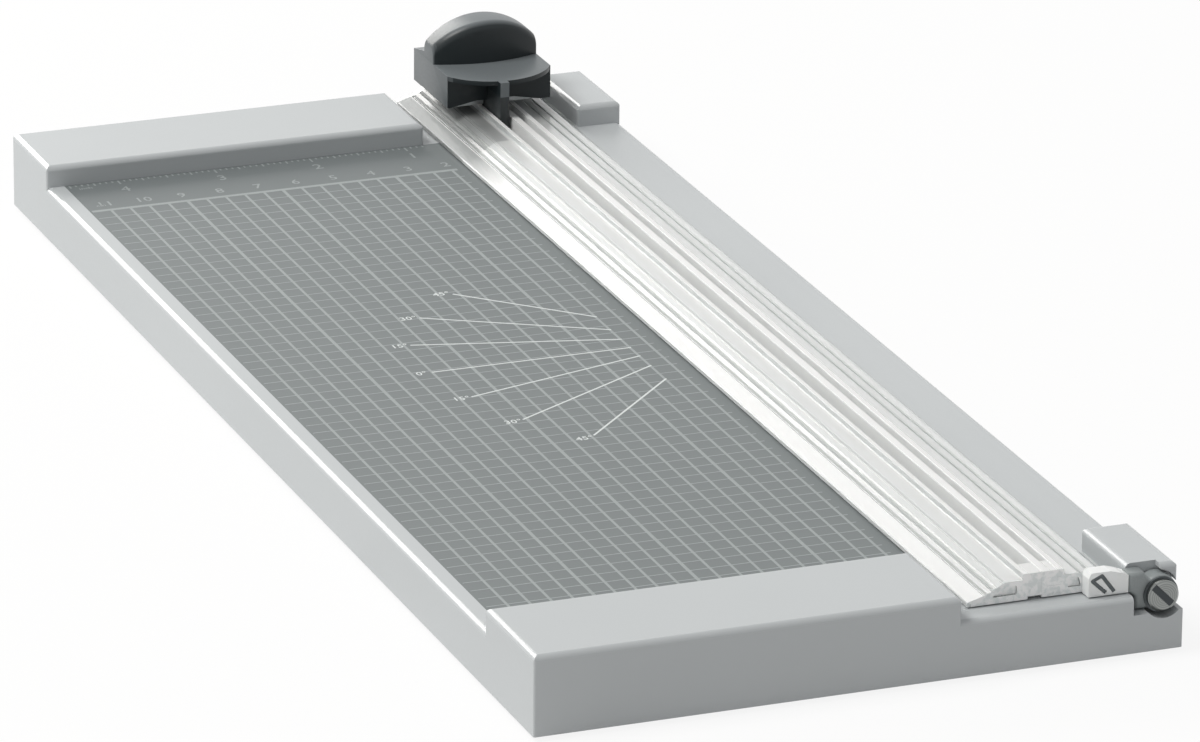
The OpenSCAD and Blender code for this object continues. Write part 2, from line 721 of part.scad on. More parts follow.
module head_shell() {
    y0 = head_y0 + head_wall;
    y1 = head_y1 - head_wall;
    color("#2f3638") at_cut() difference() {
        union() {
            block(-head_left, head_right, head_y0, head_y1, head_z, shelf_z);
            along_x(-head_left, head_right)
                polygon([[grip_y0, shelf_z - 1], [head_y1, shelf_z - 1], [head_y1, shelf_z],
                    [grip_y0 + grip_l, shelf_z + 1.6], [grip_y0, shelf_z + 1.6]]);
            intersection() {
                along_y(head_y0, head_y1) grip_front();
                linear_extrude(shelf_z * 3) grip_plan();
            }
            bow();
        }
        difference() {
            block(-head_left + head_wall, head_right - head_wall, y0, y1, head_z - 1, shelf_z - head_wall);
            for (x = spring_x) translate([x, blade_y, spring_z1]) cylinder(r = spring_r + 1, h = head_h);
            for (y = [y0, y1 - flange_l - 0.6]) block(-flange_w, flange_w, y, y + flange_l + 0.6, fin_z1 + 1.5, shelf_z);
        }
        block(-fin_w / 2 - loose, fin_w / 2 + loose, fin_y0 - 1, y0 + 1, head_z - 1, fin_z1 + pin_fit);
        along_y(head_y0 - 1, head_y1 + 1) under_cut();
        intersection() {
            translate([0, blade_y, blade_z]) rod_x(blade_r + 0.35, -1, 1);
            block(-2, 2, y0, y1, head_z, shelf_z + 4);
        }
        for (x = spring_x)
            translate([x, blade_y, spring_z1 - 1]) cylinder(r = screw_r, h = grip_side + 2);
        for (y = [y0 + 2.2, y1 - 2.2], x = [-3.4, 3.4])
            translate([x, y, fin_z1 - 1]) cylinder(r = 0.8, h = shelf_z - fin_z1 - 0.2);
    }
}

// The fin that goes down through the slot, and the flange that holds it in the head
module blade_carrier() {
    y0 = head_y0 + head_wall + loose;
    y1 = head_y1 - head_wall - loose;
    color("#262c2e") at_cut() difference() {
        union() {
            along_x(-fin_w / 2, fin_w / 2)
                polygon([[fin_y0, fin_z1], [fin_y0, fin_z0 + 1.4], [fin_y0 + 1.2, fin_z0], [fin_y1 - 1.2, fin_z0],
                    [fin_y1, fin_z0 + 1.4], [fin_y1, fin_z1]]);
            for (y = [y0, y1 - flange_l]) block(-flange_w, flange_w, y, y + flange_l, fin_z1, fin_z1 + 1.5);
            block(-fin_w / 2, fin_w / 2, y0, y1, fin_z1 - 0.4, fin_z1 + 1.5);
        }
        translate([0, blade_y, blade_z]) rod_x(blade_r + 0.5, -slit_w / 2, slit_w / 2);
        translate([0, blade_y, blade_z]) rod_x(axle_r, -fin_w, fin_w);
        for (y = [y0 + 2.05, y1 - 2.05], x = [-3.4, 3.4])
            translate([x, y, fin_z1 - 1]) cylinder(r = 0.8, h = 4);
    }
}

// Points of a coil about Z: turns from z0 to z1, with a straight upright stub at each end
function coil_path(r, z0, z1, turns, stub, steps) = concat(
    [[r, 0, z0]],
    [for (i = [0:turns * steps]) [r * cos(i * 360 / steps), r * sin(i * 360 / steps),
        z0 + stub + (z1 - z0 - 2 * stub) * i / (turns * steps)]],
    [[r, 0, z1]]);

// Directions along the coil, upright at both stubs
function coil_dir(path, i) = i == 0 || i == len(path) - 1 ? [0, 0, 1]
    : let(d = path[min(i + 1, len(path) - 1)] - path[max(i - 1, 0)]) d / norm(d);

module coil(r, wire, z0, z1, turns) {
    steps = 8;
    sides = 6;
    path = coil_path(r, z0, z1, turns, 2 * wire, steps);
    n = len(path);
    rings = [for (i = [0:n - 1])
        let(d = coil_dir(path, i), out = [path[i][0], path[i][1], 0] / r, side = cross(d, out))
        for (k = [0:sides - 1])
            path[i] + wire * (cos(k * 360 / sides) * out + sin(k * 360 / sides) * side / norm(side))];
    faces = concat(
        [[for (k = [0:sides - 1]) k]],
        [[for (k = [sides - 1:-1:0]) (n - 1) * sides + k]],
        [for (i = [0:n - 2], k = [0:sides - 1]) let(a = i * sides + k, b = i * sides + (k + 1) % sides)
            [a, a + sides, b]],
        [for (i = [0:n - 2], k = [0:sides - 1]) let(a = i * sides + k, b = i * sides + (k + 1) % sides)
            [b, a + sides, b + sides]]);
    polyhedron(rings, faces);
}

module press_springs() {
    color("#b4b8b8") at_cut() for (x = spring_x) translate([x, blade_y, 0])
        coil(spring_r, wire_r, spring_z0, spring_z1, 4);
}

// Shoulder screws that hold the head on the carriage and let it move down
module shoulder_screws() {
    head_under = 0.8;
    color("#9ea2a3") at_cut() for (x = spring_x) translate([x, blade_y, 0]) {
        translate([0, 0, plate_z - 0.05 - head_under]) cylinder(r = screw_r + 1, h = head_under);
        translate([0, 0, plate_z - 0.1]) cylinder(r = screw_r, h = spring_z1 - plate_z + 4.5);
    }
}

module carrier_screws() {
    y0 = head_y0 + head_wall + 2.2;
    y1 = head_y1 - head_wall - 2.2;
    color("#9ea2a3") at_cut() for (y = [y0, y1], x = [-3.4, 3.4]) translate([x, y, fin_z1 - 0.6]) {
        cylinder(r = 1.4, h = 0.6);
        cylinder(r = 0.8, h = 3.2);
    }
}

module blade_axle() {
    color("#b4b8b8") at_cut() translate([0, blade_y, blade_z]) rod_x(axle_r, -fin_w / 2, fin_w / 2);
}

module rotary_blade() {
    edge = 1.1;
    color("#c9cdce") at_cut() translate([0, blade_y, blade_z]) difference() {
        union() {
            rod_x(blade_r - edge, -blade_t / 2, blade_t / 2);
            rotate([0, 90, 0]) rotate_extrude()
                polygon([[1, -blade_t / 2], [blade_r - edge, -blade_t / 2], [blade_r, -0.02], [blade_r, 0.02],
                    [blade_r - edge, blade_t / 2], [1, blade_t / 2]]);
        }
        rod_x(bush_r, -1, 1);
    }
}

module blade_bush() {
    flange = (slit_w - blade_t) / 2 - 0.08;
    color("#d8d8d2") at_cut() translate([0, blade_y, blade_z]) difference() {
        rod_x(bush_r, -blade_t / 2 - flange, blade_t / 2 + flange);
        rod_x(axle_r + pin_fit, -1, 1);
    }
}

base_shell();
bottom_plate();
plate_screws();
rubber_feet();
bed_board();
cutting_mat();
hinge_insert_front();
hinge_insert_rear();
hinge_pin_front();
hinge_pin_rear();
hinge_washer_front();
hinge_washer_rear();
clear_rail();
end_cap_front();
end_cap_rear();
hinge_lug_front();
hinge_lug_rear();
cap_clip_front();
cap_clip_rear();
clamp_strip_left();
clamp_strip_right();
slide_carriage();
glide_pads();
guide_shoe();
head_shell();
blade_carrier();
press_springs();
shoulder_screws();
carrier_screws();
blade_axle();
rotary_blade();
blade_bush();
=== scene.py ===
import bmesh
import bpy
import numpy as np
from mathutils import Matrix, Vector
from mathutils.geometry import tessellate_polygon


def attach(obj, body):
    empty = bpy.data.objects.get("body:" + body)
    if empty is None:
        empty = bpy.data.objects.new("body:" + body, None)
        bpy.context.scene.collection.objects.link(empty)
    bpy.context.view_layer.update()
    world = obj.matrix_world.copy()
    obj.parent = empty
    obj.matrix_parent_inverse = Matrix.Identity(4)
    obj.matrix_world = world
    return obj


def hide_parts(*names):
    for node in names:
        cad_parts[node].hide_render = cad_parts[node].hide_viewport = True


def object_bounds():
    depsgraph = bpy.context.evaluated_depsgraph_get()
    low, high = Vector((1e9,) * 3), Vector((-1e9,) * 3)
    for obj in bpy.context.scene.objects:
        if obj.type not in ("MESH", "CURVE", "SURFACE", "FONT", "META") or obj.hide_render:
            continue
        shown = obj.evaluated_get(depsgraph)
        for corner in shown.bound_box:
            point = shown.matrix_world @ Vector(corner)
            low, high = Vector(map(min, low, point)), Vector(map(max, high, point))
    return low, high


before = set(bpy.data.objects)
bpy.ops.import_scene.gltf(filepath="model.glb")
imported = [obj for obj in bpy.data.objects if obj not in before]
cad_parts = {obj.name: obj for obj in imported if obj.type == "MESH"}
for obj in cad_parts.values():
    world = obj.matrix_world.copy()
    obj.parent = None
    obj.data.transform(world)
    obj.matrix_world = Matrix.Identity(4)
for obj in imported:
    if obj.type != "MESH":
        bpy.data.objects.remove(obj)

cad_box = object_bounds()
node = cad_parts

# CAMERA, FLOOR AND LIGHT
# The trimmer stands on a white table and is seen from its front left corner with a long lens, the eye
# about 20 degrees above it. A white room lights it, with one soft lamp high at the left for the tops and
# the left sides, and another low behind it that glints on the rail and on rounded edges.
camera = bpy.data.objects.new("camera", bpy.data.cameras.new("camera"))
bpy.context.scene.collection.objects.link(camera)
camera.data.sensor_fit = "HORIZONTAL"
camera.data.sensor_width = 36.0
camera.data.lens = 260.73
camera.data.clip_start = 0.05
camera.data.clip_end = 50.0
right = Vector((0.93319951, -0.35926751, 0.00809469))
up = Vector((0.11705974, 0.32520587, 0.93836995))
back = -Vector((0.33975828, 0.87473882, -0.34553772))
view = Matrix((right, up, back)).transposed().to_4x4()
view.translation = (-0.69028456, -1.80708142, 0.7224292)
camera.matrix_world = view
bpy.context.scene.camera = camera
bpy.context.scene.view_settings.view_transform = "Standard"


def lin(code):
    """The linear colour of an sRGB hex code."""
    s = np.array([int(code[i:i + 2], 16) for i in (0, 2, 4)]) / 255.0
    return (*np.where(s <= 0.04045, s / 12.92, ((s + 0.055) / 1.055) ** 2.4).tolist(), 1.0)


def feed(tree, to, inputs):
    """Gives a node its inputs, each a plain value, or a socket that it is linked from."""
    for name, value in inputs.items():
        if isinstance(value, bpy.types.NodeSocket):
            tree.links.new(value, to.inputs[name])
        else:
            to.inputs[name].default_value = value


def add(tree, kind, inputs={}, **settings):
    """Adds a node with its settings and its inputs."""
    new = tree.nodes.new("ShaderNode" + kind)
    for name, value in settings.items():
        setattr(new, name, value)
    feed(tree, new, inputs)
    return new


def seen(tree):
    """1 for a ray from the camera or from a glossy or clear surface, 0 for one that only carries light."""
    ray = add(tree, "LightPath").outputs
    eye = add(tree, "Math", {0: ray["Is Camera Ray"], 1: ray["Is Glossy Ray"]}, operation="MAXIMUM")
    eye = add(tree, "Math", {0: eye.outputs[0], 1: ray["Is Transmission Ray"]}, operation="MAXIMUM")
    return eye.outputs[0]


# The eye sees the room plain white, and 0.38 of that lights the trimmer
world = bpy.data.worlds.new("white_room")
world.use_nodes = True
room = world.node_tree
level = add(room, "MapRange", {"Value": seen(room), "To Min": 0.38, "To Max": 1.0}).outputs["Result"]
feed(room, room.nodes["Background"], {"Color": (1.0, 1.0, 1.0, 1.0), "Strength": level})
bpy.context.scene.world = world


def soft_lamp(name, spot, aim, wide, high, power):
    """A rectangular, slightly warm lamp at spot that faces aim, its sides and places in metres."""
    data = bpy.data.lights.new(name, "AREA")
    data.shape = "RECTANGLE"
    data.size, data.size_y, data.energy = wide, high, power
    data.color = (1.0, 0.985, 0.955)
    lamp = bpy.data.objects.new(name, data)
    bpy.context.scene.collection.objects.link(lamp)
    lamp.matrix_world = (Matrix.Translation(spot)
                         @ (Vector(aim) - Vector(spot)).to_track_quat("-Z", "Y").to_matrix().to_4x4())


soft_lamp("lamp_high_left", (-1.28, 0.1, 2.05), (0.0, 0.0, 0.0), 1.1, 1.1, 44.0)
soft_lamp("lamp_low_behind", (-0.36, 1.6, 0.6), (0.0, 0.0, 0.0), 1.08, 0.78, 15.6)

floor_mesh = bpy.data.meshes.new("floor")
floor_mesh.from_pydata([(-4, -4, 0), (4, -4, 0), (4, 4, 0), (-4, 4, 0)], [], [(0, 1, 2, 3)])
floor = bpy.data.objects.new("floor", floor_mesh)
bpy.context.scene.collection.objects.link(floor)
white_floor = bpy.data.materials.new("white_table_top")
white_floor.use_nodes = True
tree = white_floor.node_tree
# What the eye sees of the floor is 88% plain white and 12% lit, which keeps the shadow
glow = add(tree, "Emission", {"Color": (1.0, 1.0, 1.0, 1.0), "Strength": 1.0}).outputs[0]
chalk = add(tree, "BsdfDiffuse", {"Color": (0.8, 0.8, 0.8, 1.0)}).outputs[0]
share = add(tree, "Math", {0: seen(tree), 1: 0.88}, operation="MULTIPLY").outputs[0]
both = add(tree, "MixShader", {0: share, 1: chalk, 2: glow}).outputs[0]
feed(tree, tree.nodes["Material Output"], {"Surface": both})
tree.nodes.remove(tree.nodes["Principled BSDF"])
floor_mesh.materials.append(white_floor)

# BASE SHELL
# One hollow injection moulding of light grey ABS, open below, with the two bars and the two hinge
# blocks on it. The mould is spark eroded, so the skin is satin with a fine even grain, and the
# rounded edges are a little smoother than the flats.


def start_material(name):
    """An empty material with its shader, and the piece's own coordinates in metres."""
    material = bpy.data.materials.new(name)
    material.use_nodes = True
    tree = material.node_tree
    return material, tree, tree.nodes["Principled BSDF"], add(tree, "TexCoord").outputs["Object"]


def paint(material, *names):
    """Puts a material on the CAD nodes named."""
    for name in names:
        for slot in node[name].material_slots:
            slot.material = material


# ABS, spark eroded grain of about 0.35 mm, drawn at 0.6 mm so that it shows; a noise's scale is its
# features a metre
shell_abs, tree, shader, place = start_material("abs_spark_eroded_light_grey")
grain = add(tree, "TexNoise", {"Vector": place, "Scale": 1700.0, "Detail": 2.0}).outputs["Fac"]
flow = add(tree, "TexNoise", {"Vector": place, "Scale": 11.0, "Detail": 3.0}).outputs["Fac"]
tone = add(tree, "Mix", {0: flow, 6: lin("b1b5b7"), 7: lin("b9bdbf")}, data_type="RGBA").outputs[2]
gloss = add(tree, "MapRange", {"Value": grain, "To Min": 0.32, "To Max": 0.44}).outputs["Result"]
# A top edge's round is where the skin leans: it is polished by handling
lean = add(tree, "SeparateXYZ", {"Vector": add(tree, "NewGeometry").outputs["Normal"]}).outputs["Z"]
off_top = add(tree, "MapRange", {"Value": lean, "From Min": 0.998, "From Max": 0.97}).outputs["Result"]
off_side = add(tree, "MapRange", {"Value": lean, "From Min": 0.03, "From Max": 0.2}).outputs["Result"]
polish = add(tree, "Math", {0: off_top, 1: off_side}, operation="MULTIPLY").outputs[0]
gloss = add(tree, "Mix", {0: polish, 2: gloss, 3: 0.17}).outputs[0]
skin = add(tree, "Bump", {"Height": grain, "Strength": 0.25, "Distance": 0.00003}).outputs["Normal"]
feed(tree, shader, {"Base Color": tone, "Roughness": gloss, "Normal": skin, "IOR": 1.53})
paint(shell_abs, "base_shell")

# BOTTOM PLATE, SCREWS AND FEET
# A flat sheet of darker grey polystyrene closes the hollow base from below. Six zinc plated screws
# with cross slots hold it, and four moulded rubber feet sit in its recesses.

# Polystyrene sheet, extruded, so it has faint streaks along its length
plate_ps, tree, shader, place = start_material("polystyrene_extruded_grey")
along = add(tree, "Mapping", {"Vector": place, "Scale": (1.0, 0.06, 1.0)}).outputs["Vector"]
streak = add(tree, "TexNoise", {"Vector": along, "Scale": 900.0, "Detail": 3.0}).outputs["Fac"]
tone = add(tree, "Mix", {0: streak, 6: lin("7d8182"), 7: lin("8b8f90")}, data_type="RGBA").outputs[2]
skin = add(tree, "Bump", {"Height": streak, "Strength": 0.2, "Distance": 0.00003}).outputs["Normal"]
feed(tree, shader, {"Base Color": tone, "Normal": skin, "Roughness": 0.45})
paint(plate_ps, "bottom_plate")

# Steel, zinc plated and clear passivated: bluish, with a cloudy gloss
zinc, tree, shader, place = start_material("steel_zinc_plated")
cloud = add(tree, "TexNoise", {"Vector": place, "Scale": 700.0, "Detail": 3.0}).outputs["Fac"]
tone = add(tree, "Mix", {0: cloud, 6: lin("a9adb0"), 7: lin("c3c7ca")}, data_type="RGBA").outputs[2]
gloss = add(tree, "MapRange", {"Value": cloud, "To Min": 0.22, "To Max": 0.4}).outputs["Result"]
feed(tree, shader, {"Base Color": tone, "Roughness": gloss, "Metallic": 1.0})
paint(zinc, "plate_screws", "carrier_screws", "shoulder_screws")

# Natural rubber, moulded: matt, with a dusty bloom
rubber, tree, shader, place = start_material("rubber_moulded_black")
bloom = add(tree, "TexNoise", {"Vector": place, "Scale": 420.0, "Detail": 4.0}).outputs["Fac"]
tone = add(tree, "Mix", {0: bloom, 6: lin("26282a"), 7: lin("36393a")}, data_type="RGBA").outputs[2]
skin = add(tree, "Bump", {"Height": bloom, "Strength": 0.3, "Distance": 0.00005}).outputs["Normal"]
feed(tree, shader, {"Base Color": tone, "Normal": skin, "Roughness": 0.8})
paint(rubber, "rubber_feet")

# BED BOARD AND ITS PRINT
# A hard sheet of dark grey laminate lies flush in the bed. It is screen printed in white: a 5 mm grid,
# a centimetre scale that starts at the cut, an inch scale along the foot of the rear bar, and seven
# lines, 15 degrees apart, that fan out from near the cut line.

# From here on places are in millimetres from this point on the cut line, with X = 0 on that line, Y = 0
# on the grid's rear line and Z = 0 on the bed
CUT = np.array([43.25, 133.65, 14.5])


def at(axis, place):
    """Such a place on one axis as metres in the shared frame."""
    return float(CUT["XYZ".index(axis)] + place) * 0.001


board, tree, shader, place = start_material("laminate_matt_dark_grey")
fleck = add(tree, "TexNoise", {"Vector": place, "Scale": 2200.0, "Detail": 2.0}).outputs["Fac"]
wash = add(tree, "TexNoise", {"Vector": place, "Scale": 9.0, "Detail": 3.0}).outputs["Fac"]
tone = add(tree, "Mix", {0: wash, 6: lin("666c6d"), 7: lin("6c7273")}, data_type="RGBA").outputs[2]
skin = add(tree, "Bump", {"Height": fleck, "Strength": 0.15, "Distance": 0.00002}).outputs["Normal"]
feed(tree, shader, {"Base Color": tone, "Normal": skin, "Roughness": 0.55})
paint(board, "bed_board")

# Screen ink, a matt white film that is thinner where the mesh of the screen was; the grid and its figures
# took less of it than the angle marks, so they are greyer
inks = {}
for name, thin, thick in (("screen_ink_matt_white", "c0c5c5", "dde1e1"),
                          ("screen_ink_thin_film", "868c8d", "9aa0a0")):
    inks[name], tree, shader, place = start_material(name)
    mesh_mark = add(tree, "TexNoise", {"Vector": place, "Scale": 3000.0, "Detail": 2.0}).outputs["Fac"]
    tone = add(tree, "Mix", {0: mesh_mark, 6: lin(thin), 7: lin(thick)}, data_type="RGBA").outputs[2]
    feed(tree, shader, {"Base Color": tone, "Roughness": 0.6})


def dressed(name, mesh, material):
    """An object from a mesh in metres, with one material."""
    mesh.materials.clear()
    mesh.materials.append(material)
    piece = bpy.data.objects.new(name, mesh)
    bpy.context.scene.collection.objects.link(piece)
    return piece


def new_piece(name, points, faces, material, body, slot):
    """A piece from points in millimetres from the cut line, on a body; its slot argument is not used."""
    mesh = bpy.data.meshes.new(name)
    mesh.from_pydata(((np.asarray(points, float) + CUT) * 0.001).tolist(), [], faces)
    mesh.validate()
    mesh.update()
    piece = dressed(name, mesh, material)
    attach(piece, body)
    return piece


def points_of(mesh):
    """A mesh's points as rows of X, Y and Z."""
    points = np.empty(len(mesh.vertices) * 3)
    mesh.vertices.foreach_get("co", points)
    return points.reshape(-1, 3)


# Ink is sunk this far into the board's face, and a figure stands this high over it. Lines that cross have
# different heights, so that their tops don't lie in one plane.
sunk, figure_top = 0.02, 0.024


def ink_lines(ends, width, top):
    """Flat bars of ink: each row of ends is x0, y0, x1, y1, and a bar is that line moved half its width
    to each side, with its floor sunk into the board's face and its top just over it."""
    ends = np.asarray(ends, float).reshape(-1, 4)
    a, b = ends[:, :2], ends[:, 2:]
    run = (b - a) / np.linalg.norm(b - a, axis=1, keepdims=True)
    side = np.stack([-run[:, 1], run[:, 0]], 1) * np.broadcast_to(width, len(ends))[:, None] / 2
    ring = np.stack([a - side, b - side, b + side, a + side], 1)
    low = np.concatenate([ring, np.full((len(ends), 4, 1), -sunk)], 2)
    high = np.concatenate([ring, np.full((len(ends), 4, 1), top)], 2)
    points = np.concatenate([low, high], 1).reshape(-1, 3)
    box = np.array([[4, 5, 6, 7], [3, 2, 1, 0], [0, 1, 5, 4], [1, 2, 6, 5], [2, 3, 7, 6], [3, 0, 4, 7]])
    faces = (np.arange(len(ends))[:, None, None] * 8 + box).reshape(-1, 4)
    return points, faces.tolist()


def figure(text, x, y, high, anchor="CENTER"):
    """A figure as thin raised ink, its foot at y and its height in millimetres; a digit's height is the
    font's size over 1.42, and its strokes are widened a little."""
    data = bpy.data.curves.new("figure", "FONT")
    data.body, data.size, data.align_x = text, high * 1.42, anchor
    data.extrude, data.resolution_u, data.offset = (figure_top + sunk) / 2, 2, high * 0.012
    shape = bpy.data.objects.new("figure", data)
    bpy.context.scene.collection.objects.link(shape)
    bpy.context.view_layer.update()
    mesh = bpy.data.meshes.new_from_object(shape.evaluated_get(bpy.context.evaluated_depsgraph_get()))
    points, faces = points_of(mesh), [tuple(face.vertices) for face in mesh.polygons]
    bpy.data.objects.remove(shape)
    bpy.data.curves.remove(data)
    bpy.data.meshes.remove(mesh)
    return points + (x, y, (figure_top - sunk) / 2), faces


def gathered(parts):
    """Several lots of points and faces as one, each lot's faces moved on by the points before it."""
    starts = np.cumsum([0] + [len(points) for points, _ in parts])
    faces = [tuple(int(k + s) for k in face) for (_, lot), s in zip(parts, starts) for face in lot]
    return np.concatenate([points for points, _ in parts]), faces


# The grid's lines along the board, three of them wider, and across it, with a wide one at the rear
grid_x, grid_y = np.arange(-20.0, -111.0, -5.0), np.append(np.arange(-5.0, -291.0, -5.0), 0.5)
grid_left, grid_right, grid_front = -114.8, -18.5, -293.0
wide_x = np.where(np.isin(grid_x, (-35.0, -65.0, -90.0)), 0.9, 0.7)
wide_y = np.where(grid_y > 0.0, 1.4, 0.4)
grid_along = ink_lines([(x, 0.0, x, grid_front) for x in grid_x], wide_x, 0.02)
grid_across = ink_lines([(grid_left, y, grid_right, y) for y in grid_y], wide_y, 0.021)
# The angle lines aim at a point 2 mm left of the cut. They start 22.7 mm left of that point, and reach is
# how far left of it each one ends.
meet, slope = (-2.0, -136.0), np.tan(np.radians([45.0, 30.0, 15.0, 0.0, -15.0, -30.0, -45.0]))
reach = np.array([49.6, 63.0, 71.5, 73.0, 70.0, 64.0, 52.3])
near = np.full(7, 22.7)
rays = np.stack([meet[0] - reach, meet[1] + reach * slope, meet[0] - near, meet[1] + near * slope], 1)
rays = ink_lines(rays, 0.5, 0.023)
# The inch scale's marks hang from inch_y in sixteenths, longer at quarters and at whole inches
sixteenth, inch_y = np.arange(13, 73), 20.9
tick = np.where(sixteenth % 16 == 0, 2.6, np.where(sixteenth % 4 == 0, 1.8, 1.1))
inch_x = -sixteenth * 25.4 / 16
inches = ink_lines(np.stack([inch_x, np.full(60, inch_y), inch_x, inch_y - tick], 1), 0.45, 0.02)
figures = [figure(str(n), -10.0 * n, 3.6, 3.2) for n in range(2, 12)]
figures += [figure(str(n), -25.4 * n, 12.7, 3.5) for n in range(1, 5)]
figures += [figure(unit, -112.6, y, 1.5, "LEFT") for unit, y in (("cm", 3.6), ("inch", 17.4))]
# Each angle stands past the far end of its line
marks = [figure(text, meet[0] - r - 2.6, meet[1] + (r + 1.0) * k - 1.0, 2.2)
         for text, r, k in zip(("45°", "30°", "15°", "0°", "15°", "30°", "45°"), reach, slope)]
new_piece("bed_grid", *gathered([grid_along, grid_across, inches] + figures), inks["screen_ink_thin_film"],
          "base", "bed_print")
new_piece("bed_angles", *gathered([rays] + marks), inks["screen_ink_matt_white"], "base", "bed_print")

# CUTTING MAT
# A replaceable strip of white polypropylene under the cut. The blade's edge has worn a dull line
# along the groove in its middle.
mat_pp, tree, shader, place = start_material("polypropylene_cutting_strip")
spot = add(tree, "SeparateXYZ", {"Vector": place}).outputs
off = add(tree, "Math", {0: spot["X"], 1: at("X", 0.0)}, operation="SUBTRACT").outputs[0]
off = add(tree, "Math", {0: off}, operation="ABSOLUTE").outputs[0]
# The wear fades from 0.4 to 1.1 mm off the cut
worn = add(tree, "MapRange", {"Value": off, "From Min": 0.0004, "From Max": 0.0011}).outputs["Result"]
nicks = add(tree, "TexNoise", {"Vector": place, "Scale": 1300.0, "Detail": 3.0}).outputs["Fac"]
tone = add(tree, "Mix", {0: worn, 6: lin("b4b8b8"), 7: lin("dcdfdf")}, data_type="RGBA").outputs[2]
skin = add(tree, "Bump", {"Height": nicks, "Strength": 0.25, "Distance": 0.00004}).outputs["Normal"]
feed(tree, shader, {"Base Color": tone, "Normal": skin, "Roughness": 0.5})
paint(mat_pp, "cutting_mat")

# HINGE PINS, WASHERS AND INSERTS
# Turned shoulder screws with a sawn slot, nickel plated, run in brass sleeves that are pressed into the
# hinge blocks. A blackened spring washer lies under each head.
hinge_x, hinge_z = 28.8, -0.8

# Nickel on turned steel: fine rings about the axis, drawn 0.5 mm apart so that they show
nickel, tree, shader, place = start_material("steel_turned_nickel_plated")
to_axis = (-at("X", hinge_x), 0.0, -at("Z", hinge_z))
centred = add(tree, "Mapping", {"Vector": place, "Location": to_axis}).outputs["Vector"]
rings = add(tree, "TexWave", {"Vector": centred, "Scale": 640.0, "Distortion": 0.6, "Detail": 1.0},
            wave_type="RINGS", rings_direction="Y").outputs["Fac"]
tone = add(tree, "Mix", {0: rings, 6: lin("797c7b"), 7: lin("8f918f")}, data_type="RGBA").outputs[2]
# Painted shade in the slot: whatever lies over 0.25 mm behind the head's face and within 3.2 mm of the axis
# is painted dark grey. The heads' faces are the part's outermost points in Y, as far to the front as to the
# rear.
slot_shade_y, slot_shade_r = float(cad_box[1][1]) - 0.00025, 0.0032
from_axis = add(tree, "SeparateXYZ", {"Vector": centred}).outputs
spoke = add(tree, "CombineXYZ", {"X": from_axis["X"], "Z": from_axis["Z"]}).outputs[0]
spoke = add(tree, "VectorMath", {0: spoke}, operation="LENGTH").outputs["Value"]
inside = add(tree, "Math", {0: spoke, 1: slot_shade_r}, operation="LESS_THAN").outputs[0]
depth = add(tree, "Math", {0: from_axis["Y"]}, operation="ABSOLUTE").outputs[0]
behind = add(tree, "Math", {0: depth, 1: slot_shade_y}, operation="LESS_THAN").outputs[0]
painted_slot_shade = add(tree, "Math", {0: inside, 1: behind}, operation="MULTIPLY").outputs[0]
tone = add(tree, "Mix", {0: painted_slot_shade, 6: tone, 7: lin("414446")}, data_type="RGBA").outputs[2]
skin = add(tree, "Bump", {"Height": rings, "Strength": 0.18, "Distance": 0.00003}).outputs["Normal"]
feed(tree, shader, {"Base Color": tone, "Normal": skin, "Metallic": 1.0, "Roughness": 0.24})
paint(nickel, "hinge_pin_front", "hinge_pin_rear")

# Blackened spring steel: an oily dark grey, mottled by its oxide
black_steel, tree, shader, place = start_material("spring_steel_blackened")
oxide = add(tree, "TexNoise", {"Vector": place, "Scale": 900.0, "Detail": 4.0}).outputs["Fac"]
tone = add(tree, "Mix", {0: oxide, 6: lin("484d4f"), 7: lin("5f6466")}, data_type="RGBA").outputs[2]
gloss = add(tree, "MapRange", {"Value": oxide, "To Min": 0.28, "To Max": 0.46}).outputs["Result"]
feed(tree, shader, {"Base Color": tone, "Roughness": gloss, "Metallic": 0.6})
paint(black_steel, "hinge_washer_front", "hinge_washer_rear")

# Brass, turned and knurled at 0.7 mm
brass, tree, shader, place = start_material("brass_turned")
knurl = add(tree, "TexWave", {"Vector": place, "Scale": 500.0, "Distortion": 0.4},
            bands_direction="DIAGONAL").outputs["Fac"]
tone = add(tree, "Mix", {0: knurl, 6: lin("b18f4c"), 7: lin("cdae6c")}, data_type="RGBA").outputs[2]
skin = add(tree, "Bump", {"Height": knurl, "Strength": 0.4, "Distance": 0.0001}).outputs["Normal"]
feed(tree, shader, {"Base Color": tone, "Normal": skin, "Metallic": 1.0, "Roughness": 0.3})
paint(brass, "hinge_insert_front", "hinge_insert_rear")

# CLEAR RAIL
# An extrusion of clear acrylic with two hollows, a slot for the blade and a T-shaped guide groove; plugs
# close them all at both ends. The head has scuffed the tops of the three tracks and the walls of the
# slot and the groove white.

# Acrylic, milky from its pigment, with die lines 0.6 mm apart along its length
acrylic, tree, shader, place = start_material("acrylic_extruded_clear")
along = add(tree, "Mapping", {"Vector": place, "Scale": (1.0, 0.0, 1.0)}).outputs["Vector"]
lines = add(tree, "TexNoise", {"Vector": along, "Scale": 1600.0, "Detail": 1.0}).outputs["Fac"]
gloss = add(tree, "MapRange", {"Value": lines, "To Min": 0.1, "To Max": 0.18}).outputs["Result"]
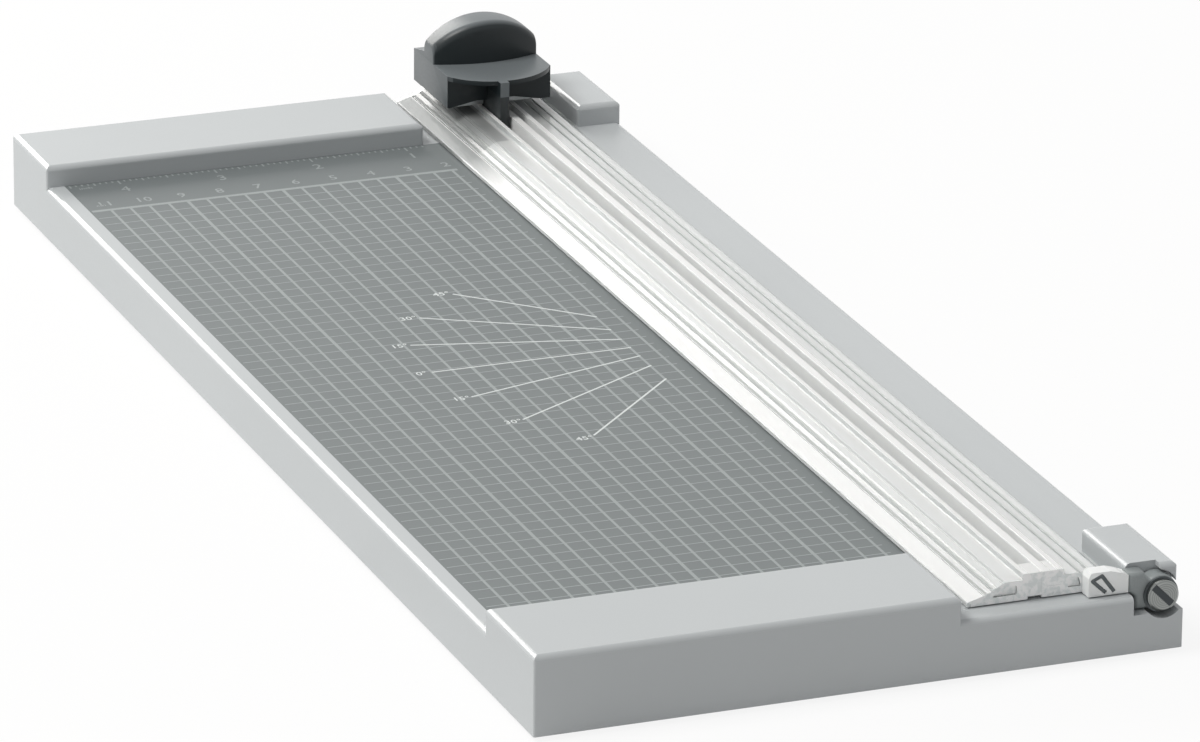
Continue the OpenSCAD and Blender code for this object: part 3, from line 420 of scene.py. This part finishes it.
# Painted shade: rough grey bands for the dark lines that the clear rail's inner walls show, in the two
# grooves of the left deck, along its slope and its bend, at the foot of the left track and in the two notches
# of the right
# deck: each with its start and end in X and its tone
painted_shade_bands = ((-11.75, -11.1, "c6caca"), (-10.0, -9.3, "c4c8c8"), (-8.7, -7.6, "d6d9d9"), (-7.5, -6.9, "ccd0d0"),
         (-2.75, -2.5, "dfe2e2"), (10.75, 11.3, "bcc0c0"), (12.95, 13.7, "c4c8c8"))
left_end, right_end = -16.0, 20.0
spot = add(tree, "SeparateXYZ", {"Vector": place}).outputs
across = add(tree, "MapRange", {"Value": spot["X"], "From Min": at("X", left_end),
                                "From Max": at("X", right_end)}).outputs["Result"]
ramp = add(tree, "ValToRGB", {"Fac": across})
ramp.color_ramp.interpolation = "CONSTANT"
ramp.color_ramp.elements.remove(ramp.color_ramp.elements[1])
# Between the bands the left deck, up to its bend, is painted a little greyer than the rest: painted shade on
# the slope that faces the lamps
deck_bend, painted_shade_deck_tone, rest_tone = -7.0, "eceeee", "f7f9f9"
ramp.color_ramp.elements[0].color = lin(painted_shade_deck_tone)
for start, end, tone in painted_shade_bands:
    after = painted_shade_deck_tone if end < deck_bend else rest_tone
    for edge, colour in ((start, tone), (end, after)):
        ramp.color_ramp.elements.new((edge - left_end) / (right_end - left_end)).color = lin(colour)
# Painted shade: over the rear bar, before the head, the decks are painted grey for the head's shadow and dark
# reflection, most of all the left one from 3.5 mm behind the grid
painted_head_shade = add(tree, "MapRange", {"Value": spot["Y"], "From Min": at("Y", 0.0), "From Max": at("Y", 16.0),
                              "To Max": 0.35}).outputs["Result"]
painted_head_shade_left = add(tree, "MapRange", {"Value": spot["Y"], "From Min": at("Y", 3.2), "From Max": at("Y", 3.9),
                              "To Max": 0.4}).outputs["Result"]
left = add(tree, "MapRange", {"Value": spot["X"], "From Min": at("X", -3.3),
                              "From Max": at("X", -3.6)}).outputs["Result"]
painted_head_shade_left = add(tree, "Math", {0: painted_head_shade_left, 1: left}, operation="MULTIPLY").outputs[0]
painted_head_shade = add(tree, "Math", {0: painted_head_shade, 1: painted_head_shade_left}, operation="ADD").outputs[0]
tone = add(tree, "Mix", {0: painted_head_shade, 6: ramp.outputs["Color"], 7: lin("7d8181")}, data_type="RGBA").outputs[2]
dull = add(tree, "MapRange", {"Value": ramp.outputs["Color"], "From Min": 0.5, "From Max": 0.92,
                              "To Min": 0.5, "To Max": 0.0}).outputs["Result"]
gloss = add(tree, "Math", {0: gloss, 1: dull}, operation="ADD").outputs[0]
feed(tree, shader, {"Base Color": tone, "Roughness": gloss, "Transmission Weight": 0.45, "IOR": 1.49})

# The same acrylic where it is scuffed: frosted white, with scratches along the track
scuffed, tree, shader, place = start_material("acrylic_scuffed_white")
along = add(tree, "Mapping", {"Vector": place, "Scale": (1.0, 0.02, 1.0)}).outputs["Vector"]
scratch = add(tree, "TexNoise", {"Vector": along, "Scale": 2400.0, "Detail": 2.0}).outputs["Fac"]
gloss = add(tree, "MapRange", {"Value": scratch, "To Min": 0.25, "To Max": 0.45}).outputs["Result"]
# Over the rear bar the toe is painted greyer: painted shade for the head's shadow and dark reflection
spot = add(tree, "SeparateXYZ", {"Vector": place}).outputs
on_toe = add(tree, "MapRange", {"Value": spot["X"], "From Min": at("X", -12.2),
                                "From Max": at("X", -12.4)}).outputs["Result"]
at_rear = add(tree, "MapRange", {"Value": spot["Y"], "From Min": at("Y", -20.0),
                                 "From Max": at("Y", 2.0)}).outputs["Result"]
painted_head_shade_toe = add(tree, "Math", {0: on_toe, 1: at_rear}, operation="MULTIPLY").outputs[0]
tone = add(tree, "Mix", {0: painted_head_shade_toe, 6: lin("fafbfb"), 7: lin("9ea2a2")}, data_type="RGBA").outputs[2]
feed(tree, shader, {"Base Color": tone, "Roughness": gloss, "Transmission Weight": 0.3, "IOR": 1.49})

# Its sawn ends: rough and white, so that no light passes, with painted glints 1 to 2 mm across: spots painted
# whiter, which are also glossier
sawn, tree, shader, place = start_material("acrylic_sawn_end")
painted_glint_spots = add(tree, "TexNoise", {"Vector": place, "Scale": 800.0, "Detail": 2.0}).outputs["Fac"]
painted_glint_spots = add(tree, "MapRange", {"Value": painted_glint_spots, "From Min": 0.4, "From Max": 0.6}).outputs["Result"]
tone = add(tree, "Mix", {0: painted_glint_spots, 6: lin("e6eaea"), 7: lin("ffffff")}, data_type="RGBA").outputs[2]
gloss = add(tree, "MapRange", {"Value": painted_glint_spots, "To Min": 0.5, "To Max": 0.25}).outputs["Result"]
feed(tree, shader, {"Base Color": tone, "Roughness": gloss, "IOR": 1.49})


def rounded(corners, r, steps=4):
    """A closed outline whose corners are small curves: P(t) = (1-t)^2 A + 2t(1-t) C + t^2 B, with A and B
    at r before and after corner C, or less than half a side away."""
    c = np.asarray(corners, float)
    before, after = np.roll(c, 1, 0) - c, np.roll(c, -1, 0) - c
    long_b, long_a = np.linalg.norm(before, axis=1), np.linalg.norm(after, axis=1)
    a = c + before * (np.minimum(r, long_b * 0.45) / long_b)[:, None]
    b = c + after * (np.minimum(r, long_a * 0.45) / long_a)[:, None]
    t = np.linspace(0.0, 1.0, steps)[None, :, None]
    return ((1 - t) ** 2 * a[:, None] + 2 * t * (1 - t) * c[:, None] + t ** 2 * b[:, None]).reshape(-1, 2)


def bar(outline, hollows, y0, y1):
    """A closed bar: an outline in X and Z and those of its hollows, carried along Y from y0 to y1, with
    triangles over both ends."""
    loops = [outline] + hollows
    starts = np.cumsum([0] + [len(loop) for loop in loops])
    flat, count = np.concatenate(loops), starts[-1]
    here = np.arange(count)
    there = np.concatenate([s + np.roll(np.arange(len(loop)), -1) for loop, s in zip(loops, starts)])
    points = np.concatenate([np.column_stack([flat[:, 0], np.full(count, y), flat[:, 1]]) for y in (y0, y1)])
    sides = np.stack([here, there, there + count, here + count], 1)
    fill = tessellate_polygon([np.column_stack([loop, np.zeros(len(loop))]).tolist() for loop in loops])
    fill = np.array(fill)
    return points, sides.tolist() + fill.tolist() + (fill[:, ::-1] + count).tolist()


def facing_out(piece):
    """Merges what a closed piece has double and turns its faces outwards."""
    work = bmesh.new()
    work.from_mesh(piece.data)
    bmesh.ops.remove_doubles(work, verts=work.verts, dist=1e-7)
    bmesh.ops.recalc_face_normals(work, faces=work.faces)
    work.to_mesh(piece.data)
    work.free()


# The rail's ends in Y, the height of its underside and that of the lip along its left edge
rail_y = (-317.0, 52.0)
foot_z, lip_z = 0.93, 0.3
left_bar = rounded([(-16, lip_z), (-15.3, lip_z), (-15.2, foot_z), (-1.4, foot_z), (-1.4, 6.4), (-2.6, 6.4),
                    (-2.6, 5), (-7, 5), (-9.6, 3.57), (-9.8, 3.2), (-10.1, 3.3), (-11, 2.8), (-11.5, 2.65),
                    (-11.7, 2.35), (-12, 2.5), (-16, 1.35)],
                   [.2, .1, .1, .12, .2, .2, .3, .5, .1, .1, .1, .4, .1, .1, .1, .2])
left_hollow = rounded([(-10, 1.8), (-7, 4), (-4, 4), (-4, 1.8)], [.5, .6, .6, .5])
right_bar = rounded([(1.9, foot_z), (19.5, foot_z), (19.5, 1.8), (15.6, 5), (13.6, 5), (13.35, 4.6),
                     (13.1, 5), (11.25, 5), (11, 4.6), (10.75, 5), (7.2, 5), (7.2, 6.4), (5.7, 6.4),
                     (5.7, 4.7), (6.7, 4.7), (6.7, 2.8), (3, 2.8), (3, 4.7), (4, 4.7), (4, 6.4), (1.9, 6.4)],
                    [.12, .2, .2, .6, .1, .1, .1, .1, .1, .1, .3, .2, .2, .1, .15, .15, .15, .15, .1, .2, .2])
right_hollow = rounded([(8.2, 1.8), (8.2, 4), (10.8, 4), (11.4, 1.8)], .4)
slot_plug = rounded([(-1.37, foot_z), (1.87, foot_z), (1.87, 6.37), (-1.37, 6.37)], .1)
groove_plug = rounded([(3.03, 2.83), (6.67, 2.83), (6.67, 4.67), (5.67, 4.67), (5.67, 6.37), (4.03, 6.37),
                       (4.03, 4.67), (3.03, 4.67)], .08)
rail_parts = [bar(left_bar, [left_hollow], *rail_y), bar(right_bar, [right_hollow], *rail_y)]
# The slot and the groove are plugged for 6 mm at the front and 2 mm at the rear
rail_parts += [bar(plug, [], *ends) for plug in (slot_plug, groove_plug)
               for ends in ((rail_y[0], rail_y[0] + 6.0), (rail_y[1] - 2.0, rail_y[1]))]
# The hollows are closed from 0.6 to 4 mm behind the ends
for plug in (rounded([(-9.8, 1.85), (-7.05, 3.95), (-4.05, 3.95), (-4.05, 1.85)], .5),
             rounded([(8.25, 1.85), (8.25, 3.95), (10.75, 3.95), (11.3, 1.85)], .35)):
    rail_parts += [bar(plug, [], *ends) for ends in ((rail_y[0] + 0.6, rail_y[0] + 4.0),
                                                     (rail_y[1] - 4.0, rail_y[1] - 0.6))]
# Past the clamp strips' ends a foot 3.8 mm long reaches down to the bed
for x0, x1 in ((-15.1, -1.4), (1.9, 19.5)):
    end_foot = rounded([(x0, lip_z), (x1, lip_z), (x1, foot_z - 0.01), (x0, foot_z - 0.01)], .05)
    rail_parts += [bar(end_foot, [], *ends) for ends in ((rail_y[0], rail_y[0] + 3.8),
                                                         (rail_y[1] - 3.8, rail_y[1]))]
rail_piece = new_piece("clear_rail_profile", *gathered(rail_parts), acrylic, "rail", "clear_plastic")
facing_out(rail_piece)
# Material 1 is scuffed: the tops of the tracks and of the toe, and the walls of the slot and the groove.
# Material 2 is sawn: the ends. middle and facing hold X, Y and Z of each face's centre and normal.
rail_piece.data.materials.append(scuffed)
rail_piece.data.materials.append(sawn)
rail_faces = rail_piece.data.polygons
middle, facing = np.empty((2, len(rail_faces) * 3))
rail_faces.foreach_get("center", middle)
rail_faces.foreach_get("normal", facing)
middle, facing = middle.reshape(-1, 3).T, facing.reshape(-1, 3).T
track = middle[2] > at("Z", 6.35)
toe = (middle[0] < at("X", -12.3)) & (middle[2] < at("Z", 2.6))
wall = (abs(facing[0]) > 0.9) & (middle[0] > at("X", -1.5)) & (middle[0] < at("X", 7.0))
worn_face = ((track | toe) & (facing[2] > 0.9)) | wall
rail_faces.foreach_set("material_index", np.where(abs(facing[1]) > 0.9, 2, worn_face).astype(np.int32))
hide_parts("clear_rail")

# END CAPS
# Moulded in clear polycarbonate, one at the right corner of each end of the rail; sink marks make them
# look a little cloudy. A blackened steel clip, bent to a narrow U, pins each to the rail.
cap_pc, tree, shader, place = start_material("polycarbonate_moulded_clear")
sink = add(tree, "TexNoise", {"Vector": place, "Scale": 260.0, "Detail": 3.0}).outputs["Fac"]
gloss = add(tree, "MapRange", {"Value": sink, "To Min": 0.04, "To Max": 0.16}).outputs["Result"]
skin = add(tree, "Bump", {"Height": sink, "Strength": 0.3, "Distance": 0.0001}).outputs["Normal"]
feed(tree, shader, {"Roughness": gloss, "Normal": skin, "Base Color": lin("fafcfc"),
                    "Transmission Weight": 0.2, "IOR": 1.58})


def merged(name):
    """A copy of a CAD node's mesh to work on, with its double points merged."""
    work = bmesh.new()
    work.from_mesh(node[name].data)
    bmesh.ops.remove_doubles(work, verts=work.verts, dist=1e-6)
    return work


def worked(work, name):
    """What was worked on as a mesh of its own."""
    mesh = bpy.data.meshes.new(name)
    work.to_mesh(mesh)
    work.free()
    return mesh


# The face that lies on the rail stands 0.03 mm off it, so that light passes between them
for end, face, off in (("front", rail_y[0], -0.03), ("rear", rail_y[1], 0.03)):
    mesh = worked(merged("end_cap_" + end), "end_cap_" + end + "_clear")
    points = points_of(mesh)
    points[:, 1] += np.where(abs(points[:, 1] * 1000 - CUT[1] - face) < 0.005, off * 0.001, 0.0)
    mesh.vertices.foreach_set("co", points.ravel())
    cap = dressed("end_cap_" + end + "_clear", mesh, cap_pc)
    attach(cap, "rail")
    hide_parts("end_cap_" + end)
paint(black_steel, "cap_clip_front", "cap_clip_rear")

# HINGE LUGS
# Two plates of glass filled nylon, moulded dark grey, with a faint swirl of fibres in the skin. Their
# tongues go into the end caps and their bores turn on the pins' shoulders.
lug_pa, tree, shader, place = start_material("nylon_glass_filled_grey")
fibre = add(tree, "TexNoise", {"Vector": place, "Scale": 1500.0, "Detail": 4.0, "Distortion": 1.2})
fibre = fibre.outputs["Fac"]
tone = add(tree, "Mix", {0: fibre, 6: lin("828889"), 7: lin("8f9596")}, data_type="RGBA").outputs[2]
skin = add(tree, "Bump", {"Height": fibre, "Strength": 0.25, "Distance": 0.00004}).outputs["Normal"]
feed(tree, shader, {"Base Color": tone, "Normal": skin, "Roughness": 0.4})
# Only the outline of the outer face is rounded: not the tongue, nor the bore, which is less than 4 mm
# from the axis
tongue_end, bore_r = 21.2, 4.0


def smooth(mesh):
    """Shades a mesh smooth, apart from edges that turn by more than half a radian."""
    mesh.polygons.foreach_set("use_smooth", np.ones(len(mesh.polygons), bool))
    mesh.set_sharp_from_angle(angle=0.5)


for end, outer in (("front", np.min), ("rear", np.max)):
    work = merged("hinge_lug_" + end)
    bmesh.ops.dissolve_limit(work, angle_limit=0.01, verts=work.verts, edges=work.edges)
    x, y, z = (np.array([v.co for v in work.verts]) * 1000 - CUT).T
    rim = (abs(y - outer(y)) < 0.01) & (x > tongue_end) & (np.hypot(x - hinge_x, z - hinge_z) > bore_r)
    work.verts.index_update()
    bmesh.ops.bevel(work, geom=[e for e in work.edges if rim[e.verts[0].index] and rim[e.verts[1].index]],
                    offset=0.0009, segments=4, profile=0.5, affect="EDGES", clamp_overlap=True)
    mesh = worked(work, "hinge_lug_" + end + "_rounded")
    smooth(mesh)
    lug = dressed("hinge_lug_" + end + "_rounded", mesh, lug_pa)
    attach(lug, "rail")
    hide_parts("hinge_lug_" + end)

# CLAMP STRIPS
# Two strips of soft white PVC tape under the rail, which grip the sheet. Ribs run across them, 1.5 mm
# apart. They end short of the rail's end feet.
soft_pvc, tree, shader, place = start_material("pvc_soft_white_tape")
ribs = add(tree, "TexWave", {"Vector": place, "Scale": 210.0}, bands_direction="Y").outputs["Fac"]
tone = add(tree, "Mix", {0: ribs, 6: lin("dfe2e2"), 7: lin("eceeee")}, data_type="RGBA").outputs[2]
skin = add(tree, "Bump", {"Height": ribs, "Strength": 0.3, "Distance": 0.0001}).outputs["Normal"]
feed(tree, shader, {"Base Color": tone, "Normal": skin, "Roughness": 0.6})
paint(soft_pvc, "clamp_strip_left", "clamp_strip_right")

# CARRIAGE, GLIDE PADS AND SHOE
# Inside the head a stamped sheet steel plate lies on the rail's tracks, on white acetal pads. An
# acetal shoe runs in the guide groove and holds it down.
sheet_steel, tree, shader, place = start_material("steel_sheet_rolled")
along = add(tree, "Mapping", {"Vector": place, "Scale": (1.0, 0.05, 1.0)}).outputs["Vector"]
rolled = add(tree, "TexNoise", {"Vector": along, "Scale": 1800.0, "Detail": 3.0}).outputs["Fac"]
tone = add(tree, "Mix", {0: rolled, 6: lin("9ea2a3"), 7: lin("b4b8b9")}, data_type="RGBA").outputs[2]
gloss = add(tree, "MapRange", {"Value": rolled, "To Min": 0.28, "To Max": 0.42}).outputs["Result"]
feed(tree, shader, {"Base Color": tone, "Roughness": gloss, "Metallic": 1.0})
paint(sheet_steel, "slide_carriage")

# Acetal, moulded: waxy white, with faint clouds in it
acetal, tree, shader, place = start_material("acetal_moulded_white")
wax = add(tree, "TexNoise", {"Vector": place, "Scale": 500.0, "Detail": 2.0}).outputs["Fac"]
tone = add(tree, "Mix", {0: wax, 6: lin("dad9d2"), 7: lin("e8e7e1")}, data_type="RGBA").outputs[2]
feed(tree, shader, {"Base Color": tone, "Roughness": 0.35})
paint(acetal, "glide_pads", "guide_shoe", "blade_bush")

# HEAD SHELL
# The cutter head: a dark grey ABS moulding with an arched grip across it and a shelf that bows forward
# over the blade's fin. Its skin is satin, painted lighter grey where light falls: on its tops, partly for
# dust, on its outer left side and on the front of its nose.
head_abs, tree, shader, place = start_material("abs_spark_eroded_anthracite")
grain = add(tree, "TexNoise", {"Vector": place, "Scale": 1900.0, "Detail": 2.0}).outputs["Fac"]
touch = add(tree, "TexNoise", {"Vector": place, "Scale": 90.0, "Detail": 3.0}).outputs["Fac"]
tone = add(tree, "Mix", {0: touch, 6: lin("1a2123"), 7: lin("20272a")}, data_type="RGBA").outputs[2]
look = add(tree, "SeparateXYZ", {"Vector": add(tree, "NewGeometry").outputs["Normal"]}).outputs
# Painted light: what faces up is painted greyer, partly for dust and partly as painted sheen; the outer left
# side is painted greyer for the light from the left, and the front of the nose before Y = 17 for the light on
# it
dust_and_painted_light = add(tree, "MapRange", {"Value": look["Z"], "From Min": 0.55, "From Max": 1.0,
                              "To Max": 0.75}).outputs["Result"]
spot = add(tree, "SeparateXYZ", {"Vector": place}).outputs
side = add(tree, "MapRange", {"Value": look["X"], "From Min": -0.6, "From Max": -1.0,
                              "To Max": 0.5}).outputs["Result"]
left = add(tree, "Math", {0: spot["X"], 1: at("X", -11.0)}, operation="LESS_THAN").outputs[0]
side = add(tree, "Math", {0: side, 1: left}, operation="MULTIPLY").outputs[0]
front = add(tree, "MapRange", {"Value": look["Y"], "From Min": -0.6, "From Max": -1.0,
                               "To Max": 0.75}).outputs["Result"]
painted_lit_nose = add(tree, "Math", {0: spot["Y"], 1: at("Y", 17.0)}, operation="LESS_THAN").outputs[0]
painted_lit_nose = add(tree, "Math", {0: painted_lit_nose, 1: front}, operation="MULTIPLY").outputs[0]
dust_and_painted_light = add(tree, "Math", {0: dust_and_painted_light, 1: side}, operation="MAXIMUM").outputs[0]
dust_and_painted_light = add(tree, "Math", {0: dust_and_painted_light, 1: painted_lit_nose}, operation="MAXIMUM").outputs[0]
tone = add(tree, "Mix", {0: dust_and_painted_light, 6: tone, 7: lin("797f82")}, data_type="RGBA").outputs[2]
gloss = add(tree, "MapRange", {"Value": grain, "To Min": 0.3, "To Max": 0.42}).outputs["Result"]
skin = add(tree, "Bump", {"Height": grain, "Strength": 0.25, "Distance": 0.00003}).outputs["Normal"]
feed(tree, shader, {"Base Color": tone, "Roughness": gloss, "Normal": skin, "IOR": 1.53,
                    "Specular IOR Level": 0.3})

# The grip's sides, the middles of its front and its back, the arch's top and the shelf; then how far the
# arch rises and the front bulges, and where the wedge behind the back starts in Z and ends in Y
grip_x, grip_y, arch_top, shelf_z = (-12.0, 16.2), (36.1, 43.2), 26.8, 16.0
arch, bulge, wedge_z, wedge_y = 6.4, 3.2, 17.6, 50.48


def grip_grid(columns, end_r, front_r, back_r):
    """The grip as closed sections across X. The top is z = arch_top - R + sqrt(R^2 - x^2) and the front
    y = y0 - (sqrt(r^2 - x^2) - r + bulge), with x from the middle and R and r so that both arcs end at the
    sides; rounds of front_r and back_r join them. At both ends the section shrinks by end_r (1 - sin a)
    while x moves by end_r (1 - cos a)."""
    # A hair narrower than the CAD's, so that it stays inside the CAD's box
    half, centre = (grip_x[1] - grip_x[0]) / 2 - 0.02, (grip_x[0] + grip_x[1]) / 2
    a = np.linspace(0.0, np.pi / 2, 7)[:-1]
    flat = np.linspace(-half + end_r, half - end_r, columns)
    x = np.concatenate([-half + end_r * (1 - np.cos(a)), flat, (half - end_r * (1 - np.cos(a)))[::-1]])
    inset = np.concatenate([end_r * (1 - np.sin(a)), np.zeros(columns), (end_r * (1 - np.sin(a)))[::-1]])
    top_r, bow_r = (half ** 2 + arch ** 2) / (2 * arch), (half ** 2 + bulge ** 2) / (2 * bulge)
    top = arch_top - top_r + np.sqrt(top_r ** 2 - x ** 2) - inset
    front = grip_y[0] - (np.sqrt(bow_r ** 2 - x ** 2) - bow_r + bulge) + inset
    rear = np.full_like(x, grip_y[1]) - inset
    bend = np.linspace(0.0, np.pi / 2, 10)[None, :]
    rise = np.linspace(0.0, 1.0, 8)[None, :-1]
    col = lambda v: np.asarray(v)[:, None]
    low = np.full_like(x, shelf_z - 0.5)
    y = [col(front) + 0 * rise, col(front) + front_r * (1 - np.cos(bend)),
         col(rear) - back_r * (1 - np.sin(bend)), col(rear) + 0 * rise,
         wedge_y - col(inset), wedge_y - col(inset)]
    z = [col(low) + (col(top) - front_r - col(low)) * rise, col(top) - front_r * (1 - np.sin(bend)),
         col(top) - back_r * (1 - np.cos(bend)),
         col(top) - back_r + (wedge_z - col(top) + back_r) * (rise + 0.125),
         np.full((len(x), 1), shelf_z), col(low)]
    y, z = np.concatenate(y, 1), np.concatenate(z, 1)
    return np.stack([np.broadcast_to(col(x + centre), y.shape), y, z], 2)


def closed_grid(grid):
    """Faces of a grid of closed sections, with one many-sided face over each end."""
    rows, ring = grid.shape[:2]
    k = np.arange(rows * ring).reshape(rows, ring)
    a, b = k[:-1], k[1:]
    faces = np.stack([a, b, np.roll(b, -1, 1), np.roll(a, -1, 1)], 2).reshape(-1, 4).tolist()
    return grid.reshape(-1, 3), faces + [k[0].tolist(), k[-1, ::-1].tolist()]


# The lower block is the CAD's, cut off just over the shelf, with its outer edges rounded
work = merged("head_shell")
cut_z = at("Z", shelf_z) + 1e-5
bmesh.ops.bisect_plane(work, geom=work.verts[:] + work.edges[:] + work.faces[:], dist=1e-7,
                       plane_co=(0, 0, cut_z), plane_no=(0, 0, 1), clear_outer=True)
bmesh.ops.dissolve_limit(work, angle_limit=0.01, verts=work.verts, edges=work.edges)
# The shelf's side edges are parted where the grip starts, since only what lies in front is rounded
foot_y = at("Y", grip_y[0] + 0.6)
bmesh.ops.bisect_plane(work, geom=work.verts[:] + work.edges[:] + work.faces[:], dist=1e-7,
                       plane_co=(0, foot_y, 0), plane_no=(0, 1, 0))
low_x, high_x, front_y, back_y = at("X", -12.0), at("X", 15.9), at("Y", 25.4), at("Y", 50.45)


def edge_kind(edge):
    """How an edge of the block is rounded: 2 at the shelf's sides, 1 at the other sharp edges that show,
    and 0 is not at all, as beside the fin, within 2 mm of the cut line."""
    if len(edge.link_faces) != 2 or edge.calc_face_angle(0.0) < 0.6 or not edge.is_convex:
        return 0
    p = (edge.verts[0].co + edge.verts[1].co) / 2
    side = min(abs(p.x - low_x), abs(p.x - high_x)) < 1e-5
    if side and abs(p.z - cut_z) < 1e-5:
        return 2 if p.y < foot_y else 0
    return int(side or (p.y < front_y and abs(p.x - at("X", 0.0)) > 0.002) or p.y > back_y)


for kind, radius in ((2, 0.0008), (1, 0.0004)):
    bmesh.ops.bevel(work, geom=[edge for edge in work.edges if edge_kind(edge) == kind], offset=radius,
                    segments=3, profile=0.5, affect="EDGES", clamp_overlap=True)
block = worked(work, "block")
block_part = (points_of(block) * 1000 - CUT, [tuple(face.vertices) for face in block.polygons])
bpy.data.meshes.remove(block)
head_piece = new_piece("head_moulding", *gathered([block_part, closed_grid(grip_grid(44, 0.5, 2.2, 1.6))]),
                       head_abs, "head", "head_plastic")
facing_out(head_piece)
smooth(head_piece.data)
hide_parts("head_shell")

# BLADE CARRIER
# Black glass filled nylon: the fin that goes down the slot with the blade in it, held in the head by
# four small screws.
fin_pa, tree, shader, place = start_material("nylon_glass_filled_black")
fibre = add(tree, "TexNoise", {"Vector": place, "Scale": 1400.0, "Detail": 4.0, "Distortion": 1.0})
fibre = fibre.outputs["Fac"]
tone = add(tree, "Mix", {0: fibre, 6: lin("1f2426"), 7: lin("2b3032")}, data_type="RGBA").outputs[2]
skin = add(tree, "Bump", {"Height": fibre, "Strength": 0.25, "Distance": 0.00004}).outputs["Normal"]
feed(tree, shader, {"Base Color": tone, "Normal": skin, "Roughness": 0.42})
paint(fin_pa, "blade_carrier")

# SPRINGS, AXLE AND BLADE
# Springs coiled from drawn steel wire hold the head up. The blade is a hardened steel disc, ground on
# both sides to its edge, on an axle of the same drawn steel.

# Drawn steel: bright, with fine marks
wire, tree, shader, place = start_material("steel_wire_drawn")
drawn = add(tree, "TexNoise", {"Vector": place, "Scale": 2500.0, "Detail": 2.0}).outputs["Fac"]
tone = add(tree, "Mix", {0: drawn, 6: lin("a6a9aa"), 7: lin("bfc2c3")}, data_type="RGBA").outputs[2]
feed(tree, shader, {"Base Color": tone, "Metallic": 1.0, "Roughness": 0.3})
paint(wire, "press_springs", "blade_axle")

# Ground steel: rings about the axle, drawn 0.6 mm apart so that they show
blade_steel, tree, shader, place = start_material("steel_hardened_ground")
axle_y, axle_z = 39.7, 8.2
to_axle = (-at("X", 0.0), -at("Y", axle_y), -at("Z", axle_z))
centred = add(tree, "Mapping", {"Vector": place, "Location": to_axle}).outputs["Vector"]
rings = add(tree, "TexWave", {"Vector": centred, "Scale": 520.0, "Distortion": 0.3, "Detail": 1.0},
            wave_type="RINGS", rings_direction="X").outputs["Fac"]
tone = add(tree, "Mix", {0: rings, 6: lin("bfc3c5"), 7: lin("d3d6d8")}, data_type="RGBA").outputs[2]
skin = add(tree, "Bump", {"Height": rings, "Strength": 0.12, "Distance": 0.00002}).outputs["Normal"]
feed(tree, shader, {"Base Color": tone, "Normal": skin, "Metallic": 1.0, "Roughness": 0.2})
paint(blade_steel, "rotary_blade")
